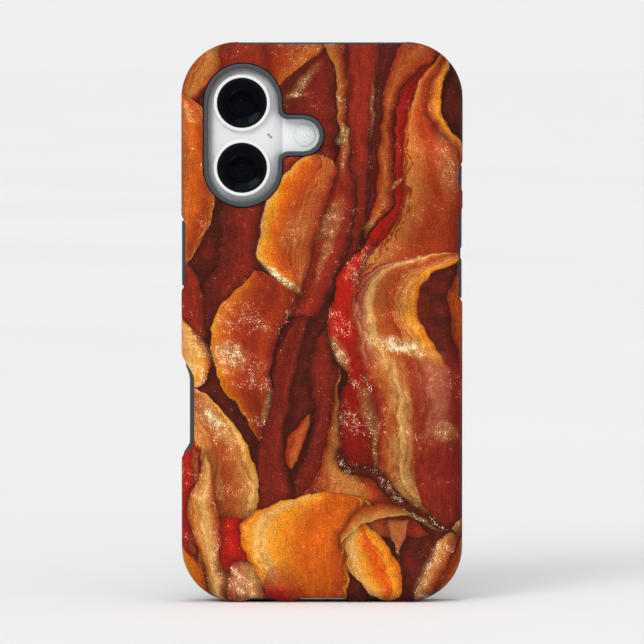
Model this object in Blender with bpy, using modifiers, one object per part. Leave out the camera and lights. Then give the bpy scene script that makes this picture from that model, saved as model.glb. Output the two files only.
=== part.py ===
"""A smartphone standing upright in a two-layer protective case, seen from its back.

Metres, +Z up, origin under the middle of the bottom edge. The back of the phone faces -Y and its
display faces +Y. The case is a hard printed shell over a soft dark liner, and the liner holds the
phone. Nested pieces share their corner centres, so that the gap between them is even all round.
"""

import math

import bmesh
import bpy
from mathutils import Matrix, Vector

# Driving sizes of the phone and of the layers round it
PHONE_WIDTH = 0.0716
PHONE_HEIGHT = 0.1476
PHONE_DEPTH = 0.0078
PHONE_CORNER = 0.0128
PHONE_EDGE = 0.0008
GAP = 0.0002
LINER_WALL = 0.0010
SHELL_WALL = 0.0010

# Places of the layers from the back of the part to its front
RIM_TOP = -0.0061
SHELL_BACK = RIM_TOP + 0.0007
SHELL_FRONT = 0.0044
SHELL_EDGE = 0.0028
LINER_BACK = SHELL_BACK + SHELL_WALL + GAP
LINER_PANEL = 0.0011
PHONE_BACK = LINER_BACK + LINER_PANEL + GAP
PHONE_FRONT = PHONE_BACK + PHONE_DEPTH
PHONE_MIDDLE = (PHONE_BACK + PHONE_FRONT) / 2
LIP_TOP = -RIM_TOP
LIP_EDGE = 0.0006
LIP_OVERLAP = 0.0013
BAND_START = SHELL_FRONT + GAP
BAND_INSET = 0.0004

# Outer size of the case, worked out from the layers
WALL = GAP + LINER_WALL + GAP + SHELL_WALL
CASE_WIDTH = PHONE_WIDTH + 2 * WALL
CASE_HEIGHT = PHONE_HEIGHT + 2 * WALL
CASE_CORNER = PHONE_CORNER + WALL
MIDDLE_Z = CASE_HEIGHT / 2
SIDE_X = CASE_WIDTH / 2

# Camera opening: an upright pill round the two lenses, with a lobe for the flash
CAMERA_X = -0.0214
CAMERA_Z = 0.1271
LENS_STEP = 0.0088
PILL_HALF_WIDTH = 0.01065
LOBE_X = -0.0050
LOBE_HALF_HEIGHT = 0.00555
NECK_FILLET = 0.0016
RIM_WIDTH = 0.0012
RIM_ROUND = 0.0003
SHELL_TO_RIM = 0.0003

# Camera plateau, lenses, flash and microphone
PLATEAU_HALF_WIDTH = 0.00925
PLATEAU_CORNER = 0.0091
PLATEAU_RISE = 0.0015
PLATEAU_EDGE = 0.0010
LENS_X = -0.0217
LENS_RISE = 0.0028
LENS_RING_RADIUS = 0.0077
LENS_RING_WIDTH = 0.0009
LENS_RING_CHAMFER = 0.00025
LENS_COVER_DROP = 0.00025
FLASH_X = -0.0048
FLASH_RADIUS = 0.0031
FLASH_DOME = 0.00025
MICROPHONE_X = -0.0143
MICROPHONE_RADIUS = 0.00045

# Glass panels of the phone
FRAME_RIM = 0.0009
GLASS_DEPTH = 0.0010
POCKET_DEPTH = GLASS_DEPTH + GAP

# Lengths along the side walls: the shell's notches and the liner's button covers
NOTCH_BACK = SHELL_BACK + 0.0006
TOP_NOTCH_BACK = SHELL_BACK + 0.0012
NOTCH_CORNER = 0.0030
RIGHT_NOTCHES = ((0.1117, 0.1203), (0.0814, 0.1077))
RIGHT_COVERS = ((0.1121, 0.1192), (0.0963, 0.1073), (0.0827, 0.0936))
LEFT_NOTCHES = ((0.0846, 0.1056),)
LEFT_COVERS = ((0.0861, 0.1039),)
COVER_HALF_DEPTH = 0.0024
COVER_INSET = 0.0002
TOP_NOTCH_HALF = 0.0233
TOP_PAD_INSET = 0.0001
NOTCH_CLEARANCE = 0.0004

# Scoop in the left wall that bares the camera button
SCOOP_TOP = 0.0690
SCOOP_BOTTOM = 0.0383
SCOOP_RAMP_TOP = 0.0085
SCOOP_RAMP_BOTTOM = 0.0060
SHELL_SCOOP_DEPTH = 0.0035
CAMERA_BUTTON_HALF_LENGTH = 0.0078
CAMERA_BUTTON_HALF_HEIGHT = 0.0013
CAMERA_BUTTON_POCKET = 0.0006

# Bottom edge: charging port in the middle, speaker left of it and microphone right of it
PORT_NOTCH_HALF = 0.0083
PORT_HALF_WIDTH = 0.0070
PORT_HALF_DEPTH = 0.0030
PORT_CAVITY_HALF_WIDTH = 0.0045
PORT_CAVITY_HALF_DEPTH = 0.0016
PORT_CAVITY_LENGTH = 0.0070
TONGUE_SIZE = (0.0066, 0.0007, 0.0052)
TONGUE_END_GAP = 0.0003
SCREW_X = 0.0059
SCREW_RADIUS = 0.00065
SCREW_POCKET = 0.0006
SPEAKER_NOTCH = (-0.0219, -0.0110)
SOUND_INLET_NOTCH = (0.0105, 0.0170)
BOTTOM_PAD_INSET = 0.0004
SLOT_HALF_DEPTH = 0.0013
SLOT_MARGIN = 0.0009
GRILLE_HOLE_RADIUS = 0.0007
GRILLE_HOLE_STEP = 0.0020
GRILLE_HOLE_DEPTH = 0.0018

# Front of the phone
EARPIECE_HALF_LENGTH = 0.0045
EARPIECE_HALF_HEIGHT = 0.0004
EARPIECE_DROP = 0.0028
FRONT_CAMERA_RADIUS = 0.0019
FRONT_CAMERA_DROP = 0.0082

# How finely round shapes are divided
CORNER_SEGMENTS = 12
EDGE_SEGMENTS = 4
SMALL_EDGE_SEGMENTS = 2
ARC_STEPS = 8
TURN_STEPS = 32
HOLE_SEGMENTS = 12
SCOOP_STEPS = 8

OVERSHOOT = 0.002
WELD_DISTANCE = 1e-6
SMOOTH_ANGLE = math.radians(35)

# For each plane of an outline, the turn out of XY and the axis along which it is extruded
PLANES = {
    "XZ": (Matrix(((1, 0, 0), (0, 0, -1), (0, 1, 0))), Vector((0, 1, 0))),
    "YZ": (Matrix(((0, 0, 1), (1, 0, 0), (0, 1, 0))), Vector((1, 0, 0))),
    "XY": (Matrix.Identity(3), Vector((0, 0, 1))),
}


def new_collection(name):
    collection = bpy.data.collections.new(name)
    bpy.context.scene.collection.children.link(collection)
    return collection


def material(name, colour, roughness, metallic=0.0):
    made = bpy.data.materials.new(name)
    made.use_nodes = True
    shader = made.node_tree.nodes["Principled BSDF"]
    shader.inputs["Base Color"].default_value = (*colour, 1.0)
    shader.inputs["Roughness"].default_value = roughness
    shader.inputs["Metallic"].default_value = metallic
    return made


def object_from(name, mesh, collection):
    """Links a mesh as an object that is shaded smooth between its sharp edges."""
    mesh.shade_smooth()
    mesh.set_sharp_from_angle(angle=SMOOTH_ANGLE)
    obj = bpy.data.objects.new(name, mesh)
    collection.objects.link(obj)
    return obj


def as_cutter(obj):
    """Marks a shape that only cuts or joins another."""
    obj.hide_render = True
    obj.display_type = "WIRE"
    return obj


def combine(obj, other, operation):
    modifier = obj.modifiers.new(f"{operation.lower()} {other.name}", "BOOLEAN")
    modifier.operation = operation
    modifier.object = other
    modifier.solver = "EXACT"


def cut(obj, *cutters):
    for cutter in cutters:
        combine(obj, cutter, "DIFFERENCE")


def join(obj, *additions):
    for addition in additions:
        combine(obj, addition, "UNION")


def bevel(bm, edges, radius, segments):
    bmesh.ops.bevel(
        bm,
        geom=edges,
        offset=radius,
        offset_type="OFFSET",
        segments=segments,
        profile=0.5,
        affect="EDGES",
        clamp_overlap=False,
    )


def rounded_block(
    name,
    collection,
    width,
    height,
    depth_span,
    corner,
    back_edge=0.0,
    front_edge=0.0,
    centre=(0.0, MIDDLE_Z),
    edge_segments=EDGE_SEGMENTS,
):
    """An upright plate across Y, with round corners and, where asked, round back and front edges."""
    back, front = depth_span
    bm = bmesh.new()
    bmesh.ops.create_cube(bm, size=1.0)
    place = Vector((centre[0], (back + front) / 2, centre[1]))
    size = Vector((width, front - back, height))
    bm.transform(Matrix.LocRotScale(place, None, size))
    along_y = [e for e in bm.edges if abs(e.verts[0].co.y - e.verts[1].co.y) > WELD_DISTANCE]
    bevel(bm, along_y, corner, CORNER_SEGMENTS)
    for y, radius in ((back, back_edge), (front, front_edge)):
        if radius > 0.0:
            rim = [e for e in bm.edges if all(abs(v.co.y - y) < WELD_DISTANCE for v in e.verts)]
            bevel(bm, rim, radius, edge_segments)
    mesh = bpy.data.meshes.new(name)
    bm.to_mesh(mesh)
    bm.free()
    return object_from(name, mesh, collection)


def soft_box(name, collection, low, high, edge):
    """A box between two corners, with all its edges rounded."""
    bm = bmesh.new()
    bmesh.ops.create_cube(bm, size=1.0)
    low, high = Vector(low), Vector(high)
    bm.transform(Matrix.LocRotScale((low + high) / 2, None, high - low))
    if edge > 0.0:
        bevel(bm, list(bm.edges), edge, SMALL_EDGE_SEGMENTS)
    mesh = bpy.data.meshes.new(name)
    bm.to_mesh(mesh)
    bm.free()
    return object_from(name, mesh, collection)


def arc(centre, radius, start_deg, end_deg, steps=ARC_STEPS):
    """Points on an arc, both ends included."""
    angles = [math.radians(start_deg + (end_deg - start_deg) * i / steps) for i in range(steps + 1)]
    return [(centre[0] + radius * math.cos(a), centre[1] + radius * math.sin(a)) for a in angles]


def rounded_rectangle(low, high, radius):
    """An outline between two corners, counter-clockwise."""
    (left, bottom), (right, top) = low, high
    return (
        arc((right - radius, top - radius), radius, 0, 90)
        + arc((left + radius, top - radius), radius, 90, 180)
        + arc((left + radius, bottom + radius), radius, 180, 270)
        + arc((right - radius, bottom + radius), radius, 270, 360)
    )


def stadium(centre, half_length, half_height):
    """A slot's outline, long way along the first coordinate."""
    reach = half_length - half_height
    right = arc((centre[0] + reach, centre[1]), half_height, -90, 90)
    left = arc((centre[0] - reach, centre[1]), half_height, 90, 270)
    return right + left


def camera_outline(offset):
    """The camera opening's outline in X and Z, grown outward by offset."""
    half_width = PILL_HALF_WIDTH + offset
    half_lobe = LOBE_HALF_HEIGHT + offset
    fillet = NECK_FILLET - offset
    neck_x = CAMERA_X + half_width + fillet
    return (
        arc((CAMERA_X, CAMERA_Z + LENS_STEP), half_width, 0, 180, 2 * ARC_STEPS)
        + arc((CAMERA_X, CAMERA_Z - LENS_STEP), half_width, 180, 360, 2 * ARC_STEPS)
        + arc((neck_x, CAMERA_Z - half_lobe - fillet), fillet, 180, 90, ARC_STEPS // 2)
        + arc((LOBE_X, CAMERA_Z), half_lobe, -90, 90)
        + arc((neck_x, CAMERA_Z + half_lobe + fillet), fillet, 270, 180, ARC_STEPS // 2)
    )


def prism(name, collection, outline, plane, low, high):
    """A flat outline, extruded from low to high along the axis across its plane."""
    curve = bpy.data.curves.new(name + " outline", "CURVE")
    curve.dimensions = "2D"
    curve.fill_mode = "BOTH"
    curve.extrude = (high - low) / 2
    spline = curve.splines.new("POLY")
    spline.points.add(len(outline) - 1)
    for point, (a, b) in zip(spline.points, outline):
        point.co = (a, b, 0.0, 1.0)
    spline.use_cyclic_u = True
    guide = bpy.data.objects.new(name + " outline", curve)
    collection.objects.link(guide)
    turn, axis = PLANES[plane]
    guide.matrix_world = Matrix.Translation(axis * (low + high) / 2) @ turn.to_4x4()
    bpy.context.view_layer.update()
    evaluated = guide.evaluated_get(bpy.context.evaluated_depsgraph_get())
    mesh = bpy.data.meshes.new_from_object(evaluated)
    mesh.name = name
    bm = bmesh.new()
    bm.from_mesh(mesh)
    bmesh.ops.remove_doubles(bm, verts=bm.verts, dist=WELD_DISTANCE)
    bm.to_mesh(mesh)
    bm.free()
    obj = object_from(name, mesh, collection)
    obj.matrix_world = guide.matrix_world
    bpy.data.objects.remove(guide)
    return obj


def turned(name, collection, profile, centre, closed):
    """A profile of radius and height, turned about an axis that points to -Y."""
    mesh = bpy.data.meshes.new(name)
    edges = [(i, i + 1) for i in range(len(profile) - 1)]
    if closed:
        edges.append((len(profile) - 1, 0))
    mesh.from_pydata([(radius, 0.0, height) for radius, height in profile], edges, [])
    obj = bpy.data.objects.new(name, mesh)
    collection.objects.link(obj)
    obj.location = (centre[0], 0.0, centre[1])
    obj.rotation_euler = (math.pi / 2, 0.0, 0.0)
    screw = obj.modifiers.new("turn", "SCREW")
    screw.steps = screw.render_steps = TURN_STEPS
    screw.use_merge_vertices = True
    screw.merge_threshold = WELD_DISTANCE
    screw.use_smooth_shade = True
    return obj


def scoop_outline(depth):
    """A shallow bite out of the left wall in X and Z, with an S-shaped ramp at each end."""
    outside = -SIDE_X - OVERSHOOT
    start = -SIDE_X - GAP
    points = [(outside, SCOOP_BOTTOM)]
    for i in range(SCOOP_STEPS + 1):
        share = i / SCOOP_STEPS
        eased = (1 - math.cos(math.pi * share)) / 2
        points.append((start + (depth + GAP) * eased, SCOOP_BOTTOM + SCOOP_RAMP_BOTTOM * share))
    for i in range(SCOOP_STEPS + 1):
        share = 1 - i / SCOOP_STEPS
        eased = (1 - math.cos(math.pi * share)) / 2
        points.append((start + (depth + GAP) * eased, SCOOP_TOP - SCOOP_RAMP_TOP * share))
    points.append((outside, SCOOP_TOP))
    return points


def side_notch(name, cutters, span, side):
    """A U-shaped notch through a side wall of the shell, open towards the display."""
    outline = rounded_rectangle((NOTCH_BACK, span[0]), (LIP_TOP + NOTCH_CORNER, span[1]), NOTCH_CORNER)
    low, high = sorted((side * (SIDE_X - SHELL_WALL - GAP), side * (SIDE_X + OVERSHOOT)))
    return as_cutter(prism(name, cutters, outline, "YZ", low, high))


def end_notch(name, cutters, span, top):
    """The same notch through the shell's bottom wall, or a shallower one through its top wall."""
    back = TOP_NOTCH_BACK if top else NOTCH_BACK
    outline = rounded_rectangle((span[0], back), (span[1], LIP_TOP + NOTCH_CORNER), NOTCH_CORNER)
    wall = SHELL_WALL + GAP
    low, high = (CASE_HEIGHT - wall, CASE_HEIGHT + OVERSHOOT) if top else (-OVERSHOOT, wall)
    return as_cutter(prism(name, cutters, outline, "XY", low, high))


def layer(name, collection, inset, depth_span, **edges):
    """A block that follows the case's outline at a given distance inside it."""
    return rounded_block(
        name,
        collection,
        CASE_WIDTH - 2 * inset,
        CASE_HEIGHT - 2 * inset,
        depth_span,
        CASE_CORNER - inset,
        **edges,
    )


def make_shell(parts, cutters):
    """The hard outer shell: a tray with a camera opening and a notch for each control."""
    shell = layer("case_shell", parts, 0.0, (SHELL_BACK, SHELL_FRONT), back_edge=SHELL_EDGE)
    hollow = layer(
        "shell hollow",
        cutters,
        SHELL_WALL,
        (SHELL_BACK + SHELL_WALL, SHELL_FRONT + OVERSHOOT),
        back_edge=SHELL_EDGE - SHELL_WALL,
    )
    opening = prism(
        "shell camera opening",
        cutters,
        camera_outline(SHELL_TO_RIM),
        "XZ",
        SHELL_BACK - OVERSHOOT,
        SHELL_BACK + SHELL_WALL + OVERSHOOT,
    )
    scoop = prism(
        "shell scoop", cutters, scoop_outline(SHELL_SCOOP_DEPTH), "XZ", RIM_TOP - OVERSHOOT, -RIM_TOP + OVERSHOOT
    )
    cut(shell, as_cutter(hollow), as_cutter(opening), as_cutter(scoop))
    for i, span in enumerate(RIGHT_NOTCHES):
        cut(shell, side_notch(f"right notch {i}", cutters, span, 1))
    for i, span in enumerate(LEFT_NOTCHES):
        cut(shell, side_notch(f"left notch {i}", cutters, span, -1))
    cut(shell, end_notch("top notch", cutters, (-TOP_NOTCH_HALF, TOP_NOTCH_HALF), True))
    cut(shell, end_notch("port notch", cutters, (-PORT_NOTCH_HALF, PORT_NOTCH_HALF), False))
    cut(shell, end_notch("speaker notch", cutters, SPEAKER_NOTCH, False))
    cut(shell, end_notch("sound inlet notch", cutters, SOUND_INLET_NOTCH, False))
    return shell


def camera_rim(cutters):
    """The raised rim round the camera opening: a wall along the outline, thickened and rounded."""
    outline = camera_outline(0.0)
    bm = bmesh.new()
    low = [bm.verts.new((x, LINER_BACK + LINER_PANEL, z)) for x, z in outline]
    high = [bm.verts.new((x, RIM_TOP, z)) for x, z in outline]
    count = len(outline)
    for i in range(count):
        j = (i + 1) % count
        bm.faces.new((low[i], low[j], high[j], high[i]))
    bmesh.ops.remove_doubles(bm, verts=bm.verts, dist=WELD_DISTANCE)
    bmesh.ops.recalc_face_normals(bm, faces=bm.faces)
    mesh = bpy.data.meshes.new("camera rim")
    bm.to_mesh(mesh)
    bm.free()
    rim = object_from("camera rim", mesh, cutters)
    solidify = rim.modifiers.new("wall", "SOLIDIFY")
    solidify.thickness = RIM_WIDTH
    solidify.offset = -1.0
    solidify.use_even_offset = True
    rounding = rim.modifiers.new("round", "BEVEL")
    rounding.width = RIM_ROUND
    rounding.segments = SMALL_EDGE_SEGMENTS
    rounding.limit_method = "ANGLE"
    rounding.angle_limit = math.radians(60)
    return as_cutter(rim)


def side_cover(name, cutters, span, side, inset):
    """A raised button cover, rooted in the liner's side wall."""
    root = SIDE_X - SHELL_WALL - GAP - LINER_WALL / 2
    outer = SIDE_X - inset
    low_x, high_x = sorted((side * root, side * outer))
    low = (low_x, PHONE_MIDDLE - COVER_HALF_DEPTH, span[0])
    high = (high_x, PHONE_MIDDLE + COVER_HALF_DEPTH, span[1])
    return as_cutter(soft_box(name, cutters, low, high, LINER_WALL / 2))


def end_pad(name, cutters, span, top, inset):
    """A raised pad on the liner's top or bottom wall, that fills a notch in the shell."""
    root = SHELL_WALL + GAP + LINER_WALL / 2
    low_z, high_z = (CASE_HEIGHT - root, CASE_HEIGHT - inset) if top else (inset, root)
    low = (span[0] + NOTCH_CLEARANCE, NOTCH_BACK + NOTCH_CORNER, low_z)
    high = (span[1] - NOTCH_CLEARANCE, BAND_START + GAP, high_z)
    return as_cutter(soft_box(name, cutters, low, high, LINER_WALL / 4))


def make_liner(parts, cutters):
    """The soft inner liner: a tray with a front lip, a camera rim, button covers and openings."""
    under_shell = SHELL_WALL + GAP
    cavity_inset = under_shell + LINER_WALL
    liner = layer(
        "case_liner",
        parts,
        under_shell,
        (LINER_BACK, LIP_TOP - LIP_EDGE),
        back_edge=SHELL_EDGE - under_shell,
    )
    band = layer("front band", cutters, BAND_INSET, (BAND_START, LIP_TOP), front_edge=LIP_EDGE, edge_segments=3)
    join(liner, as_cutter(band))
    for i, span in enumerate(RIGHT_COVERS):
        join(liner, side_cover(f"right cover {i}", cutters, span, 1, COVER_INSET))
    for i, span in enumerate(LEFT_COVERS):
        join(liner, side_cover(f"left cover {i}", cutters, span, -1, COVER_INSET / 2))
    join(liner, end_pad("top pad", cutters, (-TOP_NOTCH_HALF, TOP_NOTCH_HALF), True, TOP_PAD_INSET))
    join(liner, end_pad("speaker pad", cutters, SPEAKER_NOTCH, False, BOTTOM_PAD_INSET))
    join(liner, end_pad("sound inlet pad", cutters, SOUND_INLET_NOTCH, False, BOTTOM_PAD_INSET))

    cavity = layer(
        "liner cavity",
        cutters,
        cavity_inset,
        (PHONE_BACK - GAP, PHONE_FRONT + GAP),
        back_edge=PHONE_EDGE,
        edge_segments=3,
    )
    window = layer("display window", cutters, WALL + LIP_OVERLAP, (PHONE_MIDDLE, LIP_TOP + OVERSHOOT))
    opening = prism(
        "liner camera opening",
        cutters,
        camera_outline(-RIM_WIDTH / 2),
        "XZ",
        RIM_TOP - OVERSHOOT,
        PHONE_BACK,
    )
    scoop = prism(
        "liner scoop", cutters, scoop_outline(WALL - GAP / 2), "XZ", RIM_TOP - OVERSHOOT, -RIM_TOP + OVERSHOOT
    )
    cut(liner, as_cutter(cavity), as_cutter(window), as_cutter(opening), as_cutter(scoop))
    join(liner, camera_rim(cutters))

    port = stadium((0.0, PHONE_MIDDLE), PORT_HALF_WIDTH, PORT_HALF_DEPTH)
    cut(liner, as_cutter(prism("liner port", cutters, port, "XY", -OVERSHOOT, WALL + GAP)))
    for name, span in (("speaker slot", SPEAKER_NOTCH), ("sound inlet slot", SOUND_INLET_NOTCH)):
        middle = (span[0] + span[1]) / 2
        half_length = (span[1] - span[0]) / 2 - NOTCH_CLEARANCE - SLOT_MARGIN
        slot = stadium((middle, PHONE_MIDDLE), half_length, SLOT_HALF_DEPTH)
        cut(liner, as_cutter(prism(name, cutters, slot, "XY", -OVERSHOOT, WALL + GAP)))
    return liner


def upright_pin(name, collection, x, radius, bottom, top):
    """A short upright cylinder in the middle of the phone's thickness."""
    bm = bmesh.new()
    bmesh.ops.create_cone(
        bm,
        cap_ends=True,
        segments=HOLE_SEGMENTS,
        radius1=radius,
        radius2=radius,
        depth=top - bottom,
        matrix=Matrix.Translation((x, PHONE_MIDDLE, (bottom + top) / 2)),
    )
    mesh = bpy.data.meshes.new(name)
    bm.to_mesh(mesh)
    bm.free()
    return object_from(name, mesh, collection)


def make_frame(parts, cutters):
    """The phone's metal frame, with a pocket for each glass panel, the port and the grille holes."""
    frame = layer(
        "phone_frame",
        parts,
        WALL,
        (PHONE_BACK, PHONE_FRONT),
        back_edge=PHONE_EDGE,
        front_edge=PHONE_EDGE,
        edge_segments=3,
    )
    pocket_inset = WALL + FRAME_RIM
    back_pocket = layer("back pocket", cutters, pocket_inset, (PHONE_BACK - OVERSHOOT, PHONE_BACK + POCKET_DEPTH))
    front_pocket = layer("front pocket", cutters, pocket_inset, (PHONE_FRONT - POCKET_DEPTH, PHONE_FRONT + OVERSHOOT))
    cut(frame, as_cutter(back_pocket), as_cutter(front_pocket))

    side = -SIDE_X + WALL
    button = stadium((0.0, 0.0), CAMERA_BUTTON_HALF_LENGTH + GAP, CAMERA_BUTTON_HALF_HEIGHT + GAP)
    button = [(PHONE_MIDDLE - b, button_middle() + a) for a, b in button]
    pocket = prism("camera button pocket", cutters, button, "YZ", side - OVERSHOOT, side + CAMERA_BUTTON_POCKET)
    cut(frame, as_cutter(pocket))

    port = stadium((0.0, PHONE_MIDDLE), PORT_CAVITY_HALF_WIDTH, PORT_CAVITY_HALF_DEPTH)
    cavity = prism("port cavity", cutters, port, "XY", WALL - OVERSHOOT, WALL + PORT_CAVITY_LENGTH)
    cut(frame, as_cutter(cavity))
    for group, (low, high), count in (("speaker", SPEAKER_NOTCH, 4), ("sound inlet", SOUND_INLET_NOTCH, 2)):
        for i in range(count):
            x = (low + high) / 2 + (i - (count - 1) / 2) * GRILLE_HOLE_STEP
            hole = (GRILLE_HOLE_RADIUS, WALL - OVERSHOOT, WALL + GRILLE_HOLE_DEPTH)
            cut(frame, as_cutter(upright_pin(f"{group} hole {i}", cutters, x, *hole)))
    for side in (-1, 1):
        pocket = (SCREW_RADIUS + GAP, WALL - OVERSHOOT, WALL + SCREW_POCKET)
        cut(frame, as_cutter(upright_pin(f"screw pocket {side}", cutters, side * SCREW_X, *pocket)))
    return frame


def button_middle():
    """The height of the camera button, in the middle of the scoop's flat stretch."""
    return (SCOOP_TOP - SCOOP_RAMP_TOP + SCOOP_BOTTOM + SCOOP_RAMP_BOTTOM) / 2


def make_camera_button(parts):
    side = -SIDE_X + WALL
    outline = stadium((0.0, 0.0), CAMERA_BUTTON_HALF_LENGTH, CAMERA_BUTTON_HALF_HEIGHT)
    outline = [(PHONE_MIDDLE - b, button_middle() + a) for a, b in outline]
    return prism("camera_button", parts, outline, "YZ", side + GAP / 4, side + CAMERA_BUTTON_POCKET - GAP)


def make_port_tongue(parts):
    width, depth, length = TONGUE_SIZE
    top = WALL + PORT_CAVITY_LENGTH - TONGUE_END_GAP
    low = (-width / 2, PHONE_MIDDLE - depth / 2, top - length)
    high = (width / 2, PHONE_MIDDLE + depth / 2, top)
    return soft_box("port_tongue", parts, low, high, depth / 5)


def make_screws(parts):
    """The two small screws on either side of the charging port."""
    places = {"left": -SCREW_X, "right": SCREW_X}
    span = (WALL + GAP / 2, WALL + SCREW_POCKET - GAP)
    return [upright_pin(f"bottom_screw_{side}", parts, x, SCREW_RADIUS, *span) for side, x in places.items()]


def lens_centres():
    return {"upper": (LENS_X, CAMERA_Z + LENS_STEP), "lower": (LENS_X, CAMERA_Z - LENS_STEP)}


def turned_hole(name, cutters, centre, radius, bottom_y):
    """A round cutter from a depth in the glass out past the back of the part."""
    profile = [(0.0, -RIM_TOP + OVERSHOOT), (radius, -RIM_TOP + OVERSHOOT), (radius, -bottom_y), (0.0, -bottom_y)]
    return as_cutter(turned(name, cutters, profile, centre, closed=False))


def make_back_glass(parts, cutters):
    """The glass back with its raised camera plateau, holed for the lenses, flash and microphone."""
    glass = layer("back_glass", parts, WALL + FRAME_RIM + GAP, (PHONE_BACK, PHONE_BACK + GLASS_DEPTH))
    plateau = rounded_block(
        "camera plateau",
        cutters,
        2 * PLATEAU_HALF_WIDTH,
        2 * (PLATEAU_HALF_WIDTH + LENS_STEP),
        (PHONE_BACK - PLATEAU_RISE, PHONE_BACK + GLASS_DEPTH / 2),
        PLATEAU_CORNER,
        back_edge=PLATEAU_EDGE,
        centre=(CAMERA_X, CAMERA_Z),
        edge_segments=3,
    )
    join(glass, as_cutter(plateau))
    for name, centre in lens_centres().items():
        bottom = PHONE_BACK + GLASS_DEPTH / 4
        cut(glass, turned_hole(f"{name} lens hole", cutters, centre, LENS_RING_RADIUS + GAP, bottom))
    flash_bottom = PHONE_BACK + GLASS_DEPTH / 2
    cut(glass, turned_hole("flash hole", cutters, (FLASH_X, CAMERA_Z), FLASH_RADIUS + GAP, flash_bottom))
    microphone = (MICROPHONE_X, CAMERA_Z)
    cut(glass, turned_hole("microphone hole", cutters, microphone, MICROPHONE_RADIUS, PHONE_BACK - GAP))
    return glass


def make_lenses(parts):
    """For each lens a metal ring and a dark glass cover inside it."""
    base = -(PHONE_BACK + GLASS_DEPTH / 4) + GAP
    top = -PHONE_BACK + LENS_RISE
    inner = LENS_RING_RADIUS - LENS_RING_WIDTH
    chamfer = LENS_RING_CHAMFER
    ring = [
        (inner, top - chamfer / 2),
        (inner + chamfer / 2, top),
        (LENS_RING_RADIUS - chamfer, top),
        (LENS_RING_RADIUS, top - chamfer),
        (LENS_RING_RADIUS, base),
        (inner, base),
    ]
    cover_top = top - LENS_COVER_DROP
    cover_radius = inner - GAP
    cover = [(0.0, cover_top), (cover_radius, cover_top), (cover_radius, base), (0.0, base)]
    made = []
    for name, centre in lens_centres().items():
        made.append(turned(f"lens_ring_{name}", parts, ring, centre, closed=True))
        made.append(turned(f"lens_cover_{name}", parts, cover, centre, closed=False))
    return made


def make_flash(parts):
    """The flash window: a low dome in the back glass."""
    base = -(PHONE_BACK + GLASS_DEPTH / 2) + GAP
    brim = -PHONE_BACK
    dome = [
        (FLASH_RADIUS * math.sin(math.radians(a)), brim + FLASH_DOME * math.cos(math.radians(a)))
        for a in (0, 22.5, 45, 67.5, 90)
    ]
    profile = dome + [(FLASH_RADIUS, base), (0.0, base)]
    return turned("flash_window", parts, profile, (FLASH_X, CAMERA_Z), closed=False)


def make_display(parts, cutters):
    """The display glass, with the earpiece slot and a hole for the front camera."""
    inset = WALL + FRAME_RIM + GAP
    glass = layer("display_glass", parts, inset, (PHONE_FRONT - GLASS_DEPTH, PHONE_FRONT))
    glass_top = CASE_HEIGHT - inset
    slot = stadium((0.0, glass_top - EARPIECE_DROP), EARPIECE_HALF_LENGTH, EARPIECE_HALF_HEIGHT)
    slot_bottom = PHONE_FRONT - GLASS_DEPTH / 2
    cut(glass, as_cutter(prism("earpiece slot", cutters, slot, "XZ", slot_bottom, PHONE_FRONT + OVERSHOOT)))
    hole = arc((0.0, glass_top - FRONT_CAMERA_DROP), FRONT_CAMERA_RADIUS + GAP, 0, 345, 23)
    cut(glass, as_cutter(prism("front camera hole", cutters, hole, "XZ", slot_bottom, PHONE_FRONT + OVERSHOOT)))
    window = arc((0.0, glass_top - FRONT_CAMERA_DROP), FRONT_CAMERA_RADIUS, 0, 345, 23)
    camera = prism("front_camera", parts, window, "XZ", slot_bottom + GAP, PHONE_FRONT)
    return glass, camera


def main():
    for obj in list(bpy.data.objects):
        bpy.data.objects.remove(obj, do_unlink=True)
    parts = new_collection("phone in printed case")
    cutters = new_collection("cutters")

    white_metal = material("white satin metal", (0.80, 0.80, 0.79), 0.35, 0.6)
    black_glass = material("black glass", (0.010, 0.010, 0.014), 0.06)
    make_shell(parts, cutters).data.materials.append(material("printed hard plastic", (0.40, 0.09, 0.03), 0.4))
    make_liner(parts, cutters).data.materials.append(material("dark grey rubber", (0.060, 0.066, 0.075), 0.6))
    make_frame(parts, cutters).data.materials.append(white_metal)
    make_back_glass(parts, cutters).data.materials.append(material("white glass", (0.82, 0.83, 0.83), 0.15))
    for piece in make_lenses(parts):
        piece.data.materials.append(white_metal if "ring" in piece.name else black_glass)
    make_flash(parts).data.materials.append(material("flash diffuser", (0.86, 0.84, 0.78), 0.2))
    make_camera_button(parts).data.materials.append(material("button glass", (0.62, 0.62, 0.62), 0.15))
    make_port_tongue(parts).data.materials.append(material("black plastic", (0.02, 0.02, 0.02), 0.5))
    for screw in make_screws(parts):
        screw.data.materials.append(material(f"steel of {screw.name}", (0.55, 0.55, 0.56), 0.3, 1.0))
    for piece in make_display(parts, cutters):
        piece.data.materials.append(black_glass)


main()
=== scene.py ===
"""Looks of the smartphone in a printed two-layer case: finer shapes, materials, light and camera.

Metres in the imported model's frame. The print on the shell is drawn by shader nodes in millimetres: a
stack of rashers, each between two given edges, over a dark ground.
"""

import math
import random
from collections import namedtuple

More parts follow.
